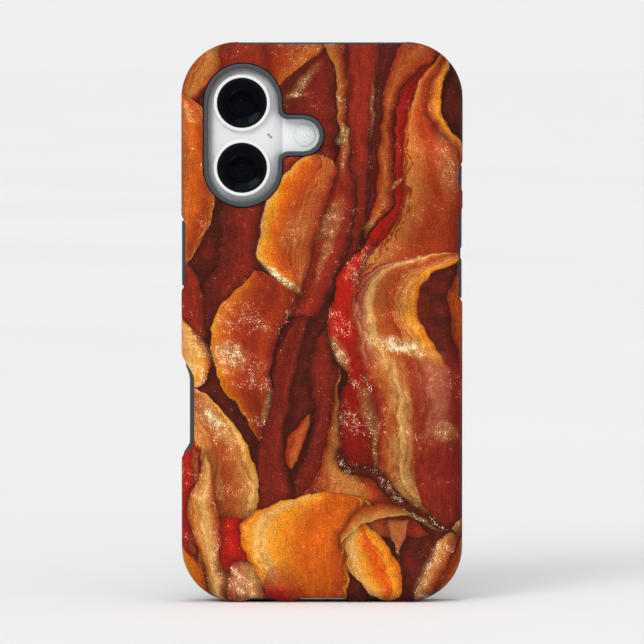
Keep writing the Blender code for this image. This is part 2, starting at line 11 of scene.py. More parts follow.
import bmesh
import bpy
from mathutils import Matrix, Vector


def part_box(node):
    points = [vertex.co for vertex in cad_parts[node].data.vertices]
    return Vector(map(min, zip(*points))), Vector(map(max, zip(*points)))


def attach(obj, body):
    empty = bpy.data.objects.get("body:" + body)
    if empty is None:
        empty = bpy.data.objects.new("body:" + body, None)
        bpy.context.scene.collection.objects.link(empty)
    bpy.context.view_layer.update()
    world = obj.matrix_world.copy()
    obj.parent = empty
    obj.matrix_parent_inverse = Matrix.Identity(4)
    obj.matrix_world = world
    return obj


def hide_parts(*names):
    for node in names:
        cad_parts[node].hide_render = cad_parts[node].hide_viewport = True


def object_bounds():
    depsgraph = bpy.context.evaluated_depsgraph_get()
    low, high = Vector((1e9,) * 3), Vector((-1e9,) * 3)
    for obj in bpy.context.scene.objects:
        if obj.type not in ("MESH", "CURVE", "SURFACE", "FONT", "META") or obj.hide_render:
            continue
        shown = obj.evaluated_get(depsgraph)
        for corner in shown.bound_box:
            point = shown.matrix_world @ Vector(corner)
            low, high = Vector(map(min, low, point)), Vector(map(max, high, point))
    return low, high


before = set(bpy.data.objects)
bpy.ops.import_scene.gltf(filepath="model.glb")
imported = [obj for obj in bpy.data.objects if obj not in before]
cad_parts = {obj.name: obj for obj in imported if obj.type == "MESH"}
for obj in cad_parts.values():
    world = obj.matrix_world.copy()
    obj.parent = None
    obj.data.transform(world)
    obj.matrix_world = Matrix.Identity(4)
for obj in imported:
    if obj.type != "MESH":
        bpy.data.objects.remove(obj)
CAD_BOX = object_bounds()

# The photograph's view: its width at the object, and the camera's place
PHOTO_SIDE_PX = 644
PX_PER_METRE = 3671
CAMERA_DISTANCE = 1.6
CAMERA_ELEVATION = math.radians(2.6)
SENSOR_WIDTH = 36.0

# Room: its strength, how much brighter it is on the right, its shares behind the camera and behind the
# part, and the directions along Y between which it changes to them
ROOM_STRENGTH = 0.74
WORLD_LEAN = 0.45
CAMERA_SIDE_SHARE = 0.25
CAMERA_SIDE_SPAN = (-1.0, -0.72)
BEHIND_SHARE = 0.35
BEHIND_SPAN = (-0.1, 0.5)

# Soft suns: name, direction, energy and spread in degrees
SUNS = (
    ("key light", (0.5, 0.72, -0.58), 0.85, 28),
    ("front fill", (0.6, 2.4, -1.85), 0.8, 45),
    ("top light", (0.0, 0.0, -1.0), 0.66, 20),
)

# How far the floor goes
FLOOR_REACH = 60.0

# Back face of the shell, from which the print wraps round the sides, and millimetres in a metre
SHELL_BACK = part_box("case_shell")[0].y
MM = 1000.0

# Outer size of the case, and the places of the phone's back and camera on it
CASE_HEIGHT = CAD_BOX[1].z
CASE_SIDE = CAD_BOX[1].x
CASE_CORNER = 0.0152
PHONE_BACK = -0.0029
GLASS_CORNER = 0.0117
GLASS_EDGE = 0.0003
CAMERA_X = -0.0214
CAMERA_Z = 0.1271
LENS_X = -0.0217
LENS_STEP = 0.0088

# Plateau: half-widths at its foot, at the flash and at its top, its height and root, its steps, and how
# far its foot is widened for the flash
PLATEAU_FOOT = 0.0094
PLATEAU_LOBE_FOOT = 0.0107
PLATEAU_TOP = 0.0058
PLATEAU_RISE = 0.0015
PLATEAU_ROOT = 0.0001
PLATEAU_STEPS = 12
PLATEAU_HALF_STEPS = 12
LOBE_REACH = 0.0066
LOBE_EASE = 0.0022

# Sound holes in the plateau, drawn as painted shade on the glass: middles, radii in millimetres where each
# is darkest and where it ends, and how dark it is
MICROPHONES = ((-0.0145, 0.1272), (-0.0139, 0.1266))
HOLE_CORE = 0.2
HOLE_RADIUS = 0.55
HOLE_SHADE = 0.7

# Lens rings, and the steps of the optics as shares of the radius and depths below the ring's top
RING_RADIUS = 0.0077
RING_WIDTH = 0.0009
RING_TOP = -0.0057
RING_LIP = 0.00025
RING_ROOT = 0.0009
RING_CLEARANCE = 0.00002
LENS_STEPS = (
    (1.0, 0.00022), (0.90, 0.00022), (0.885, 0.00030), (0.72, 0.00042), (0.70, 0.00052), (0.56, 0.00060),
    (0.545, 0.00052), (0.50, 0.00047), (0.42, 0.00040), (0.32, 0.00035), (0.20, 0.00032), (0.13, 0.00031),
    (0.10, 0.00021), (0.06, 0.00017), (0.0, 0.00016),
)

# Flash: shares of its radius, and heights above the phone's back
FLASH_STEPS = (
    (1.0, 0.00000), (0.985, 0.00012), (0.93, 0.00020), (0.87, 0.00018), (0.84, 0.00010), (0.81, 0.00016),
    (0.72, 0.00023), (0.66, 0.00020), (0.63, 0.00012), (0.60, 0.00018), (0.48, 0.00024), (0.40, 0.00020),
    (0.37, 0.00011), (0.34, 0.00018), (0.22, 0.00025), (0.10, 0.00025), (0.0, 0.00024),
)

# Display, in millimetres: the corner of its outline, the width of its black band and how soft that ends
DISPLAY_CORNER = 11.5
DISPLAY_BORDER = 1.5
DISPLAY_SOFT = 0.1

# Liner: how far its moulded edges are rounded, and what is taken as one point and as flat
LINER_ROUND = 0.00012
WELD_DISTANCE = 1e-6
FLAT_ANGLE = math.radians(0.3)

# How finely round shapes are divided, and the angle from which an edge is sharp
LATHE_STEPS = 96
PILL_STEPS = 40
PANEL_CORNER_STEPS = 16
LIP_STEPS = 6
EDGE_STEPS = 4
SHARP_ANGLE = math.radians(35)

# Values of a noise between which its patches go from smooth to rough
PATCH_SPAN = (0.3, 0.7)

# Distances in millimetres at which the colours of the lenses and of the flash end
LENS_RAMP = 10.0
FLASH_RAMP = 4.0

# Noises of the print: scale for each millimetre, detail and roughness
WARP_NOISE = (0.2, 3.0, 0.42)
DRIFT_NOISE = (0.09, 3.0, 0.5)
FIBRE_NOISE = (1.0, 4.0, 0.7)
SPECK_NOISE = (2.7, 2.0, 0.7)
CLUMP_NOISE = (0.5, 2.0, 0.5)
GROUND_NOISE = (0.16, 3.0, 0.6)
GRAIN_NOISE = (2.6, 3.0, 0.8)

# Print: how far it is bent in millimetres, the scales of its fibres and their share of the drift, its
# sparkle from specks and clumps, the share of one middle tone, and its fine and coarse grain
WARP_REACH = 2.4
FIBRE_ACROSS = 1.5
FIBRE_ALONG = 0.22
FIBRE_DRIFT = 0.35
SPECK_GAIN = 10.0
CLUMP_GAIN = 4.0
SPARKLE_BASE = -9.95
MIDDLE_SHARE = 0.08
GRAIN_GAIN = 2.3
COARSE_GAIN = 0.5
GRAIN_BASE = -0.71

# Streaks in a rasher: how many there are and fit its width, the first one's place, and their height
STREAK_COUNT = 53
STREAKS_ACROSS = 40
STREAK_START = 0.05
STREAK_HEIGHT = 0.12

# How drift and streaks shift a rasher's colours, and how streaks lighten them
STREAK_DRIFT = 0.35
STREAK_SHIFT = 0.3
STREAK_LIGHT = 0.7

# Waves in a rasher: radians across it, for each millimetre along it and from drift, how much they lighten
# it, and how their crests glint
WAVE_ACROSS = 2.0
WAVE_ALONG = 0.42
WAVE_DRIFT = 9.0
WAVE_LIGHT = 0.10
CREST_GAIN = 2.6
CREST_BASE = 0.6

# Edge of a rasher: its tone there, how dark its shadow is beside it, how much they and the edge itself
# change in a millimetre, and the least width that its colours are spread over
RIM_TONE = 0.74
RIM_FADE = 0.2
SHADOW_TONE = 0.58
SHADOW_FADE = 0.22
MASK_FADE = 4.0
LEAST_WIDTH = 0.5

# Glints: brightness in the middle, how it falls off, and the haze and the sparkle that come of it
GLINT_PEAK = 1.1
GLINT_FALL = 0.85
GLINT_HAZE = 0.3
GLINT_GAIN = 3.1

# Painted shade along the edge of the print, where the case's rounded edge turns from the light: how far in
# it begins and is full, its strength at both ends, what the right and the lower end add, its strength at the
# right side, and how close to an end it stays
EDGE_SHADE_START = 0.0058
EDGE_SHADE_FULL = 0.0004
END_SHADE = 0.44
END_SHADE_RIGHT = 0.1
END_SHADE_LOWER = 0.12
SIDE_SHADE = 0.36
END_POWER = 8.0


def srgb(red, green, blue):
    """A colour from its 0 to 255 display values, as linear values with alpha."""
    shares = [value / 255 for value in (red, green, blue)]
    return (*[((v + 0.055) / 1.055) ** 2.4 if v > 0.04 else v / 12.92 for v in shares], 1.0)


BLACK = (0.0, 0.0, 0.0, 1.0)
WHITE = (1.0, 1.0, 1.0, 1.0)

# Colours of the print
CHAR = srgb(58, 17, 15)
DARK = srgb(82, 22, 17)
MAROON = srgb(100, 25, 19)
LEAN = srgb(126, 30, 22)
BRICK = srgb(146, 40, 22)
RED = srgb(176, 20, 16)
RUST = srgb(162, 54, 20)
AMBER = srgb(210, 94, 14)
GOLD = srgb(232, 148, 34)
TAN = srgb(178, 92, 38)
FAT = srgb(200, 126, 58)
PALE = srgb(228, 174, 98)
PINK = srgb(180, 98, 70)
CREAM = srgb(255, 238, 192)
MIDDLE = srgb(154, 76, 44)


class Graph:
    """A short way to write shader nodes: each call adds a node and returns its output.

    A node is always made after those that feed it. The renderer works them off in that order, and a big
    material made in another order runs out of room for the values that wait.
    """

    def __init__(self, tree):
        self.tree = tree

    def node(self, kind, **settings):
        made = self.tree.nodes.new(kind)
        for name, value in settings.items():
            setattr(made, name, value)
        return made

    def feed(self, socket, value):
        if isinstance(value, bpy.types.NodeSocket):
            self.tree.links.new(value, socket)
        else:
            socket.default_value = value

    def math(self, operation, *values):
        made = self.node("ShaderNodeMath", operation=operation)
        for socket, value in zip(made.inputs, values):
            self.feed(socket, value)
        return made.outputs[0]

    def times(self, a, b):
        return self.math("MULTIPLY", a, b)

    def muladd(self, value, factor, offset):
        return self.math("MULTIPLY_ADD", value, factor, offset)

    def length(self, x, y):
        return self.math("SQRT", self.muladd(x, x, self.times(y, y)))

    def remap(self, value, low, high, to_low=0.0, to_high=1.0):
        """A smooth step from one result at low to the other at high, level beyond both."""
        made = self.node("ShaderNodeMapRange", interpolation_type="SMOOTHSTEP", clamp=False)
        for socket, given in zip(made.inputs, (value, low, high, to_low, to_high)):
            self.feed(socket, given)
        return made.outputs[0]

    def mix(self, factor, a, b):
        made = self.node("ShaderNodeMix", data_type="RGBA")
        self.feed(made.inputs[0], factor)
        self.feed(made.inputs[6], a)
        self.feed(made.inputs[7], b)
        return made.outputs[2]

    def scale(self, colour, factor):
        """A colour made lighter or darker by a number: a mix towards black, past its ends too."""
        made = self.node("ShaderNodeMix", data_type="RGBA", clamp_factor=False)
        self.feed(made.inputs[0], factor)
        self.feed(made.inputs[6], BLACK)
        self.feed(made.inputs[7], colour)
        return made.outputs[2]

    def position(self):
        return self.node("ShaderNodeNewGeometry").outputs["Position"]

    def vector(self, *values):
        made = self.node("ShaderNodeCombineXYZ")
        for socket, value in zip(made.inputs, values):
            self.feed(socket, value)
        return made.outputs[0]

    def split(self, vector):
        made = self.node("ShaderNodeSeparateXYZ")
        self.feed(made.inputs[0], vector)
        return made.outputs

    def split_colour(self, colour):
        made = self.node("ShaderNodeSeparateColor")
        self.feed(made.inputs[0], colour)
        return made.outputs

    def noise(self, vector, scale, detail, roughness=0.5, dimensions="3D"):
        made = self.node("ShaderNodeTexNoise", noise_dimensions=dimensions)
        self.feed(made.inputs["Vector"], vector)
        self.feed(made.inputs["Scale"], scale)
        self.feed(made.inputs["Detail"], detail)
        self.feed(made.inputs["Roughness"], roughness)
        return made.outputs

    def ramp(self, value, stops):
        made = self.node("ShaderNodeValToRGB")
        elements = made.color_ramp.elements
        elements[0].position, elements[0].color = stops[0]
        elements[1].position, elements[1].color = stops[-1]
        for position, colour in stops[1:-1]:
            elements.new(position).color = colour
        self.feed(made.inputs[0], value)
        return made.outputs[0]

    def curve(self, value, points):
        """A smooth curve through points of (value, result), level beyond its ends."""
        first, last = points[0][0], points[-1][0]
        low = min(result for _, result in points)
        high = max(result for _, result in points)
        span = max(high - low, 1e-6)
        share = self.muladd(value, 1 / (last - first), -first / (last - first))
        made = self.node("ShaderNodeFloatCurve")
        made.mapping.extend = "HORIZONTAL"
        line = made.mapping.curves[0].points
        places = [((given - first) / (last - first), (result - low) / span) for given, result in points]
        line[0].location = places[0]
        line[1].location = places[-1]
        for place in places[1:-1]:
            line.new(*place)
        made.mapping.update()
        self.feed(made.inputs["Value"], share)
        return self.muladd(made.outputs[0], span, low)


# A rasher of the print: its name, then its low and its high edge, each given as points of (place along,
# place across) in millimetres, then its colours from the low edge, 0, to the high one, 1. Along is up the
# case, or to the right for one that lies across. Tone lightens or darkens it along its length. Ends are
# the places along where it fades out. Shine is how much its crests glint.
Rasher = namedtuple(
    "Rasher", "name low high colours tone ends shine across", defaults=(None, None, 0.25, False)
)

RASHERS = (
    Rasher("top left ground", ((96, -42), (156, -42.5)),
        ((134, -38), (138, -33), (142, -29), (147, -26), (156, -24)),
        ((0, RUST), (0.5, TAN), (0.75, FAT), (0.9, RUST), (1, MAROON))),
    Rasher("top middle ground", ((106, -12), (120, -14), (135, -26), (150, -28), (156, -27)),
        ((112, 2), (130, 4), (156, 5)),
        ((0, LEAN), (0.4, BRICK), (0.7, MAROON), (1, LEAN))),
    Rasher("top amber", ((140, -12.5), (145, -14), (150, -15), (156, -15)),
        ((140, -12), (143, -9.5), (146, -5.5), (150, 0.5), (153, 2.2), (156, 2.4)),
        ((0, BRICK), (0.35, RUST), (0.7, TAN), (0.95, AMBER), (1, RUST)), shine=0.5),
    Rasher("top dark fold",
        ((124, -10), (132, -12), (138, -11.5), (142, -8.5), (146, -4.8), (150, 0.8), (151, 1.6)),
        ((124, 3), (132, 4.2), (138, 4.4), (144, 3.8), (151, 1.8)),
        ((0, DARK), (0.25, MAROON), (0.6, LEAN), (1, MAROON))),
    Rasher("top tan edge",
        ((112, 6.6), (122, 5.6), (128, 4.8), (134, 4.2), (140, 4.2), (146, 3), (150, 1.4), (156, 0.6)),
        ((112, 6.8), (122, 6.8), (128, 7), (134, 7.2), (140, 7.2), (146, 6.9), (150, 6.6), (156, 6.2)),
        ((0, FAT), (0.35, TAN), (0.8, RUST), (1, BRICK)), shine=0.6),
    Rasher("left red", ((74, -42), (96, -42)),
        ((70, -32), (76, -31), (84, -32), (92, -36), (96, -41)),
        ((0, RED), (0.6, LEAN), (0.9, BRICK), (1, DARK))),
    Rasher("left lean", ((74, -31), (84, -32), (90, -29.5), (96, -27.5), (103, -28), (112, -26)),
        ((70, -24), (84, -17), (92, -16), (100, -15.5), (112, -14)),
        ((0, DARK), (0.3, MAROON), (0.6, LEAN), (0.85, MAROON), (1, DARK)), shine=0.1),
    Rasher("left column", ((80, -44), (140, -44)),
        ((86, -41), (92, -37), (97, -33.5), (101, -31.5), (106, -29.8), (116, -28.6), (126, -29),
         (133, -31.4), (137, -36.5), (139, -41)),
        ((0, RUST), (0.4, TAN), (0.62, AMBER), (0.8, RUST), (0.95, TAN), (1, GOLD)),
        tone=((90, 0.72), (104, 0.88), (112, 1), (122, 0.86), (131, 1.2), (139, 1.25)), shine=0.4),
    Rasher("dark bands", ((84, 3), (90, 4.5), (100, 6.5), (110, 7.2), (120, 6.4), (135, 6.9), (156, 6.2)),
        ((84, 8), (90, 10), (100, 13), (110, 15), (120, 16), (135, 17.5), (145, 19.5), (156, 23)),
        ((0, DARK), (0.12, LEAN), (0.36, BRICK), (0.55, LEAN), (0.66, CHAR), (0.76, DARK), (0.84, MAROON),
         (1, DARK)), shine=0.1),
    Rasher("long tan",
        ((99, 11.2), (105, 12.5), (110, 14.4), (120, 15.2), (130, 16), (140, 17), (150, 20), (156, 23.5)),
        ((99, 11.8), (104, 15.5), (107, 19.6), (115, 19.8), (125, 19.5), (135, 20.2), (141, 22.8), (150, 34),
         (156, 40)),
        ((0, MAROON), (0.1, RUST), (0.4, TAN), (0.7, RUST), (0.92, BRICK), (1, DARK)),
        tone=((100, 1.05), (120, 0.95), (140, 1), (156, 0.85)), shine=0.35),
    Rasher("red edge",
        ((86, 3.5), (92, 7), (98, 10.8), (103, 14), (107, 18.6), (112, 19.5), (125, 19.3), (135, 20),
         (141, 22.6), (150, 33.5), (156, 40)),
        ((86, 12), (98, 22), (110, 27), (120, 28), (130, 29), (140, 32), (150, 40), (156, 48)),
        ((0, CHAR), (0.07, DARK), (0.16, RED), (0.5, RED), (0.7, BRICK), (1, LEAN)),
        tone=((86, 0.85), (97, 0.9), (103, 0.7), (110, 0.8), (124, 0.95), (140, 0.75), (156, 0.45)),
        shine=0.3),
    Rasher("pocket glow", ((64, 38.5), (70, 36.5), (76, 35), (84, 34.6), (90, 36.5), (94, 40)),
        ((64, 46), (94, 46)),
        ((0, RUST), (0.4, AMBER), (1, AMBER)), tone=((64, 0.7), (94, 0.9))),
    Rasher("left of middle fold",
        ((24, -20), (30, -18.5), (40, -18.5), (46, -17), (54, -14), (60, -13.5), (72, -11), (80, -6),
         (88, -1)),
        ((24, -6), (30, -8), (40, -10), (46, -10.5), (54, -9), (60, -8), (72, -5), (80, -1.5), (88, 2)),
        ((0, CHAR), (0.15, LEAN), (0.5, MAROON), (0.8, LEAN), (1, DARK)), shine=0.08),
    Rasher("middle fold", ((26, -9), (34, -7.5), (42, -4), (52, -2), (60, -3.5), (66, -3), (74, 0.5)),
        ((26, 4), (34, 3), (42, 4), (52, 5), (60, 5), (66, 3), (74, 1.2)),
        ((0, CHAR), (0.15, MAROON), (0.5, LEAN), (1, MAROON)), shine=0.08),
    Rasher("leaf", ((36.5, -9), (39, -9.9), (44, -9.4), (47, -7.4), (51, -3.4)),
        ((36.5, -8.4), (40, -6.8), (44, -5), (47, -3.8), (51, -3)),
        ((0, BRICK), (0.3, RUST), (0.7, TAN), (1, RUST))),
    Rasher("wedge", ((24, -12), (29, -6), (33, -2.5), (38, -0.4), (45, 1.4), (52, 2.8), (60, 3.9), (65, 4.2)),
        ((18, 29), (22, 25.5), (26, 21.8), (30, 18.6), (33, 15.4), (36, 9), (38, 6.2), (45, 5.6), (52, 5.1),
         (60, 4.7), (65, 4.3)),
        ((0, BRICK), (0.3, TAN), (0.55, FAT), (0.8, RUST), (1, BRICK)),
        tone=((18, 0.85), (26, 0.95), (34, 0.92), (50, 0.78), (65, 0.6)), shine=0.35),
    Rasher("middle lean",
        ((78, -10), (85, -7), (92, -4.5), (100, -2.5), (108, -1.2), (114, 0.5), (120, 3.5), (126, 5.6)),
        ((78, -1), (85, 2.6), (92, 5.6), (100, 8.2), (108, 9.4), (114, 9.2), (120, 8), (126, 6.8)),
        ((0, BRICK), (0.3, LEAN), (0.55, BRICK), (0.8, LEAN), (0.93, DARK), (1, CHAR)), shine=0.3),
    Rasher("golden fold",
        ((84, -6.8), (87, -9), (90.5, -13), (93, -16.6), (95.5, -17.9), (100, -17), (105, -16), (110, -15),
         (114, -13), (118, -9), (122, -3)),
        ((84, -6.2), (88, -4.6), (93, -3.2), (98, -1.8), (104, -0.6), (110, 1.2), (115, 3.4), (118, 4),
         (122, -2)),
        ((0, PALE), (0.08, GOLD), (0.3, AMBER), (0.55, RUST), (0.8, TAN), (1, BRICK)),
        tone=((84, 1), (92, 1), (104, 0.95), (113, 1.12), (122, 1)), shine=0.35),
    Rasher("folded rasher",
        ((44, -17.5), (50, -20.5), (55, -24), (60, -27.6), (64, -28.6), (68, -30), (73, -30.4), (78, -29),
         (83, -25.6), (87, -21.5), (90, -18)),
        ((44, -16.8), (50, -15), (58, -13.6), (66, -13.2), (72, -12), (78, -9.4), (83, -6.6), (85.5, -7.5),
         (88, -12), (90, -17)),
        ((0, GOLD), (0.1, AMBER), (0.35, RUST), (0.6, BRICK), (0.8, RUST), (0.95, LEAN), (1, CHAR)),
        tone=((44, 0.62), (56, 0.78), (64, 1.1), (72, 1.08), (82, 0.9), (90, 0.95)), shine=0.6),
    Rasher("red shoulder",
        ((35, 12), (36, 7.6), (38, 6), (44, 4.9), (52, 4.9), (58, 6), (61, 7), (65, 5), (70, 2.6), (76, 1.8),
         (84, 3), (90, 5), (95, 9.4), (97, 12)),
        ((35, 17), (44, 20), (52, 19), (60, 17), (66, 16), (76, 14), (84, 13), (97, 16)),
        ((0, LEAN), (0.12, RED), (0.4, RED), (0.62, BRICK), (1, PINK)),
        tone=((35, 0.42), (50, 0.5), (60, 0.6), (70, 0.85), (80, 1.08), (88, 1.12), (97, 0.8)), shine=0.6),
    Rasher("S upper",
        ((88, 10), (95, 13.8), (100, 18), (104, 20.6), (110, 22.2), (120, 22.4), (130, 23), (140, 25.6),
         (146, 29.6), (150, 33.6), (156, 42)),
        ((88, 24), (90, 29), (92, 36), (93.5, 46), (122, 46), (126, 38.6), (130, 33.8), (134, 31.8),
         (140, 32.2), (145, 34.6), (150, 38), (156, 46)),
        ((0, RUST), (0.06, FAT), (0.16, TAN), (0.3, RUST), (0.5, RUST), (0.66, BRICK), (0.85, LEAN),
         (1, MAROON)), tone=((88, 1.05), (96, 0.95), (104, 0.8), (116, 0.95), (130, 1.35), (145, 1.3)),
        shine=0.35),
    Rasher("top right edge",
        ((113, 46), (118, 40), (122, 37), (126, 34.6), (130, 30.6), (134, 28.6), (140, 29.4), (145, 32.2),
         (150, 36)),
        ((113, 46.4), (122, 43), (126, 38.6), (130, 33.8), (134, 31.8), (140, 32.2), (145, 34.6), (150, 38)),
        ((0, RUST), (0.4, TAN), (0.8, GOLD), (1, AMBER)),
        tone=((113, 0.8), (125, 1), (138, 1.15), (150, 0.9)), shine=0.3),
    Rasher("S turn",
        ((56, 12), (60, 12.4), (65, 11), (70, 9.6), (76, 8.6), (82, 8.6), (87, 10), (91, 14), (93, 20),
         (95, 34)),
        ((56, 44), (60, 39), (65, 34), (70, 30.2), (75, 27.4), (80, 26), (85, 26.4), (89, 29), (92, 35),
         (95, 42)),
        ((0, BRICK), (0.1, PINK), (0.24, PALE), (0.36, TAN), (0.6, RUST), (0.82, FAT), (0.93, GOLD),
         (1, AMBER)), tone=((56, 0.85), (64, 1), (72, 1.1), (84, 0.82), (92, 1.08), (95, 1.3)),
        ends=(60, 66, 200, 201), shine=0.45),
    Rasher("S lower",
        ((19, 39), (21, 34.6), (24, 28.4), (27, 22.4), (30, 18.4), (33, 16), (38, 14.8), (46, 14.6),
         (54, 14.6), (60, 12.6), (65, 11), (72, 9.6)),
        ((19, 42), (72, 42)),
        ((0, LEAN), (0.07, BRICK), (0.15, TAN), (0.24, PALE), (0.33, TAN), (0.42, BRICK), (0.6, PINK),
         (0.78, LEAN), (1, BRICK)),
        tone=((19, 0.62), (30, 0.66), (40, 0.78), (50, 0.88), (60, 1), (68, 1.1)), ends=(0, 1, 63, 69),
        shine=0.4),
    Rasher("dark red corner",
        ((17, 40), (21, 33), (25, 29), (30, 26), (35, 25.4), (40, 26.6), (46, 29), (52, 33), (56, 38)),
        ((17, 44), (56, 44)),
        ((0, BRICK), (0.25, LEAN), (0.6, LEAN), (1, MAROON)), tone=((17, 0.9), (56, 1)),
        ends=(10, 12, 40, 56), shine=0.15),
    Rasher("left curl", ((58, -44), (80, -44)),
        ((58, -37), (60.5, -31.6), (64, -30.2), (68, -31), (72, -33.6), (76, -37.5), (80, -42)),
        ((0, AMBER), (0.3, GOLD), (0.6, PALE), (0.85, GOLD), (1, RUST)), shine=0.8),
    Rasher("lower left", ((0, -44), (62, -44)),
        ((12, -22), (18, -20.4), (24, -18.2), (30, -17.4), (36, -18.2), (41, -19.8), (46, -22), (50, -25),
         (54, -28.4), (57, -32.4), (60, -39), (62, -44)),
        ((0, RED), (0.3, RED), (0.38, LEAN), (0.46, TAN), (0.56, FAT), (0.64, RUST), (0.78, TAN), (0.9, FAT),
         (0.97, PALE), (1, GOLD)), tone=((12, 0.85), (26, 0.85), (40, 1), (54, 1.12)), shine=0.5),
    Rasher("lower left red", ((9, -26), (12, -28.5), (18, -29), (23, -28)),
        ((9, -17), (12, -19), (18, -20.5), (23, -22)),
        ((0, BRICK), (0.3, RED), (1, RED)), tone=((9, 0.8), (16, 1.1), (23, 1))),
    Rasher("lower left strip",
        ((-4, -30), (4, -31), (12, -33), (18, -35), (26, -36.5), (34, -33.5), (40, -31.5)),
        ((-4, -25), (4, -26.6), (12, -28.2), (18, -28), (26, -28.6), (34, -29.4), (40, -31)),
        ((0, RUST), (0.3, FAT), (0.6, PALE), (0.85, TAN), (1, RUST)), tone=((-4, 0.95), (20, 1), (40, 0.9)),
        shine=0.6),
    Rasher("corner patch", ((-2, -44), (15, -44)),
        ((-2, -31.6), (5, -31.2), (9, -32.2), (12.5, -35), (15, -40)),
        ((0, AMBER), (0.5, GOLD), (0.9, AMBER), (1, DARK)), tone=((-2, 0.8), (15, 0.9))),
    Rasher("lower pink", ((-4, -25), (4, -25.6), (8, -25.4), (11, -23.6)),
        ((-4, -15), (4, -15.2), (8, -15.6), (11, -17.6)),
        ((0, RUST), (0.3, PINK), (0.7, FAT), (0.92, PINK), (1, DARK)),
        tone=((-4, 0.85), (6, 0.95), (11, 0.7)), shine=0.9),
    Rasher("right orange", ((-2, 27), (4, 30), (9, 33), (14, 36), (18, 39)),
        ((-2, 46), (18, 46)),
        ((0, RUST), (0.3, AMBER), (1, AMBER)), tone=((-2, 0.75), (18, 0.95))),
    Rasher("right glint strip", ((-2, 24.6), (4, 26.2), (9, 28), (14, 30.4), (18, 33), (21, 36.6), (23, 39)),
        ((-2, 28.6), (4, 31), (9, 33.2), (14, 35.6), (18, 38.4), (23, 42)),
        ((0, RUST), (0.3, FAT), (0.6, TAN), (1, RUST)), tone=((-2, 0.8), (12, 0.95), (23, 0.8)), shine=0.9),
    Rasher("small triangle", ((13, 20.4), (16, 19.6), (19, 18.6), (22.5, 18)),
        ((13, 20.9), (16, 21.8), (19, 22.8), (22.5, 23.6)),
        ((0, PINK), (0.5, TAN), (1, PINK)), shine=0.7),
    Rasher("bottom amber",
        ((-4, -12), (0, -14), (4, -15.6), (8, -17.6), (12, -20), (16, -21.6), (20, -22), (23, -20.4),
         (26, -15), (28, -9), (30, -2)),
        ((-4, 6), (2, 6.6), (7, 7.4), (12, 8), (18, 9), (22, 11.4), (25, 13.8), (27.5, 12.8), (29, 8),
         (30, 0)),
        ((0, AMBER), (0.06, GOLD), (0.16, PALE), (0.28, GOLD), (0.5, AMBER), (0.75, AMBER), (0.93, RUST),
         (1, GOLD)), tone=((-4, 0.78), (6, 0.92), (16, 1.04), (26, 1)), shine=0.25),
    Rasher("amber foot", ((-4, -15), (2, -15.8), (7, -15.6), (11, -12), (13, -7)),
        ((-4, -1), (2, -3), (7, -5.4), (11, -6), (13, -6.4)),
        ((0, LEAN), (0.35, RED), (0.7, RUST), (1, AMBER)), tone=((-4, 0.85), (8, 1), (13, 1.1)),
        ends=(-60, -59, 3, 13), shine=0.2),
    Rasher("bottom curl",
        ((-1, 17.6), (1.5, 14), (4, 11.4), (8, 8.4), (12, 6.8), (16, 6.2), (20, 7.6), (23, 10)),
        ((-1, 18.6), (1.5, 20.6), (5, 22), (8, 21.8), (12, 19.8), (16, 17.4), (20, 14), (23, 10.6)),
        ((0, FAT), (0.12, PALE), (0.32, GOLD), (0.5, AMBER), (0.66, srgb(212, 74, 16)), (0.82, GOLD),
         (1, AMBER)), tone=((-1, 0.85), (8, 1.1), (16, 1), (23, 0.95)), shine=0.35),
    Rasher("tan hook", ((5, 16), (7, 18.4), (10, 20.8), (14, 22.4), (19, 23.5), (24, 24.2), (28, 24.9)),
        ((5, 18), (7, 22), (10, 25), (14, 26.8), (19, 27), (24, 26.2), (28, 25.1)),
        ((0, PALE), (0.2, FAT), (0.6, TAN), (1, RUST)), tone=((5, 1), (28, 0.8)), across=True),
    Rasher("char line",
        ((4.4, 40), (5.4, 37), (8, 34.8), (13, 33.8), (16, 30.4), (20, 27), (26, 23.6), (34, 19.8),
         (37, 18.4)),
        ((4.4, 41), (6, 39.4), (9, 36.8), (14, 36.8), (18, 33.4), (21.5, 29.2), (27, 25), (34, 20.8),
         (37, 19)),
        ((0, CHAR), (0.5, DARK), (1, CHAR)), shine=0.7, across=True),
)

# Patches of wet glints: middle, half sizes in millimetres, turn in degrees and strength
GLINTS = (
    (-11.5, 89, 7.5, 1.5, -42, 1), (21, 70, 11, 2.3, -14, 1), (5, 68, 5.5, 2, -62, 0.8),
    (-25, 67.5, 5.5, 4.5, -30, 0.9), (-29, 49, 8.5, 2.6, -50, 0.9), (-34, 70, 5.5, 2.2, -55, 0.8),
    (-36, 133, 4, 2, -40, 0.7), (-20.5, 6, 5, 4, 10, 0.6), (-29, 10, 8, 1.8, -75, 0.6),
    (29.5, 10, 9, 2, 62, 0.7), (6, 122, 7, 1, 85, 0.5), (-5, 141.5, 7, 1.6, 45, 0.5),
    (33.5, 46.5, 4.5, 2.5, -10, 0.6), (14.6, 43, 6.5, 0.8, 88, 0.5), (1.5, 96, 10, 1.3, 68, 0.45),
    (13, 103.5, 3, 1.2, 50, 0.5), (27, 22.5, 6, 0.8, -28, 0.5), (34, 119, 10, 3.4, 100, 0.5),
    (13.6, 135, 8, 0.6, 88, 0.5), (5.5, 127.6, 3, 1.5, 80, 0.6), (20.6, 114, 2.6, 0.7, 40, 0.6),
    (2.5, 104.5, 7, 2.4, 65, 0.55), (-8, 101, 6, 3, 70, 0.4), (12.5, 52, 8, 2, 105, 0.45),
    (-15, 53.5, 5, 1.3, 75, 0.5), (-7, 138, 3, 0.8, 8, 0.5),
)


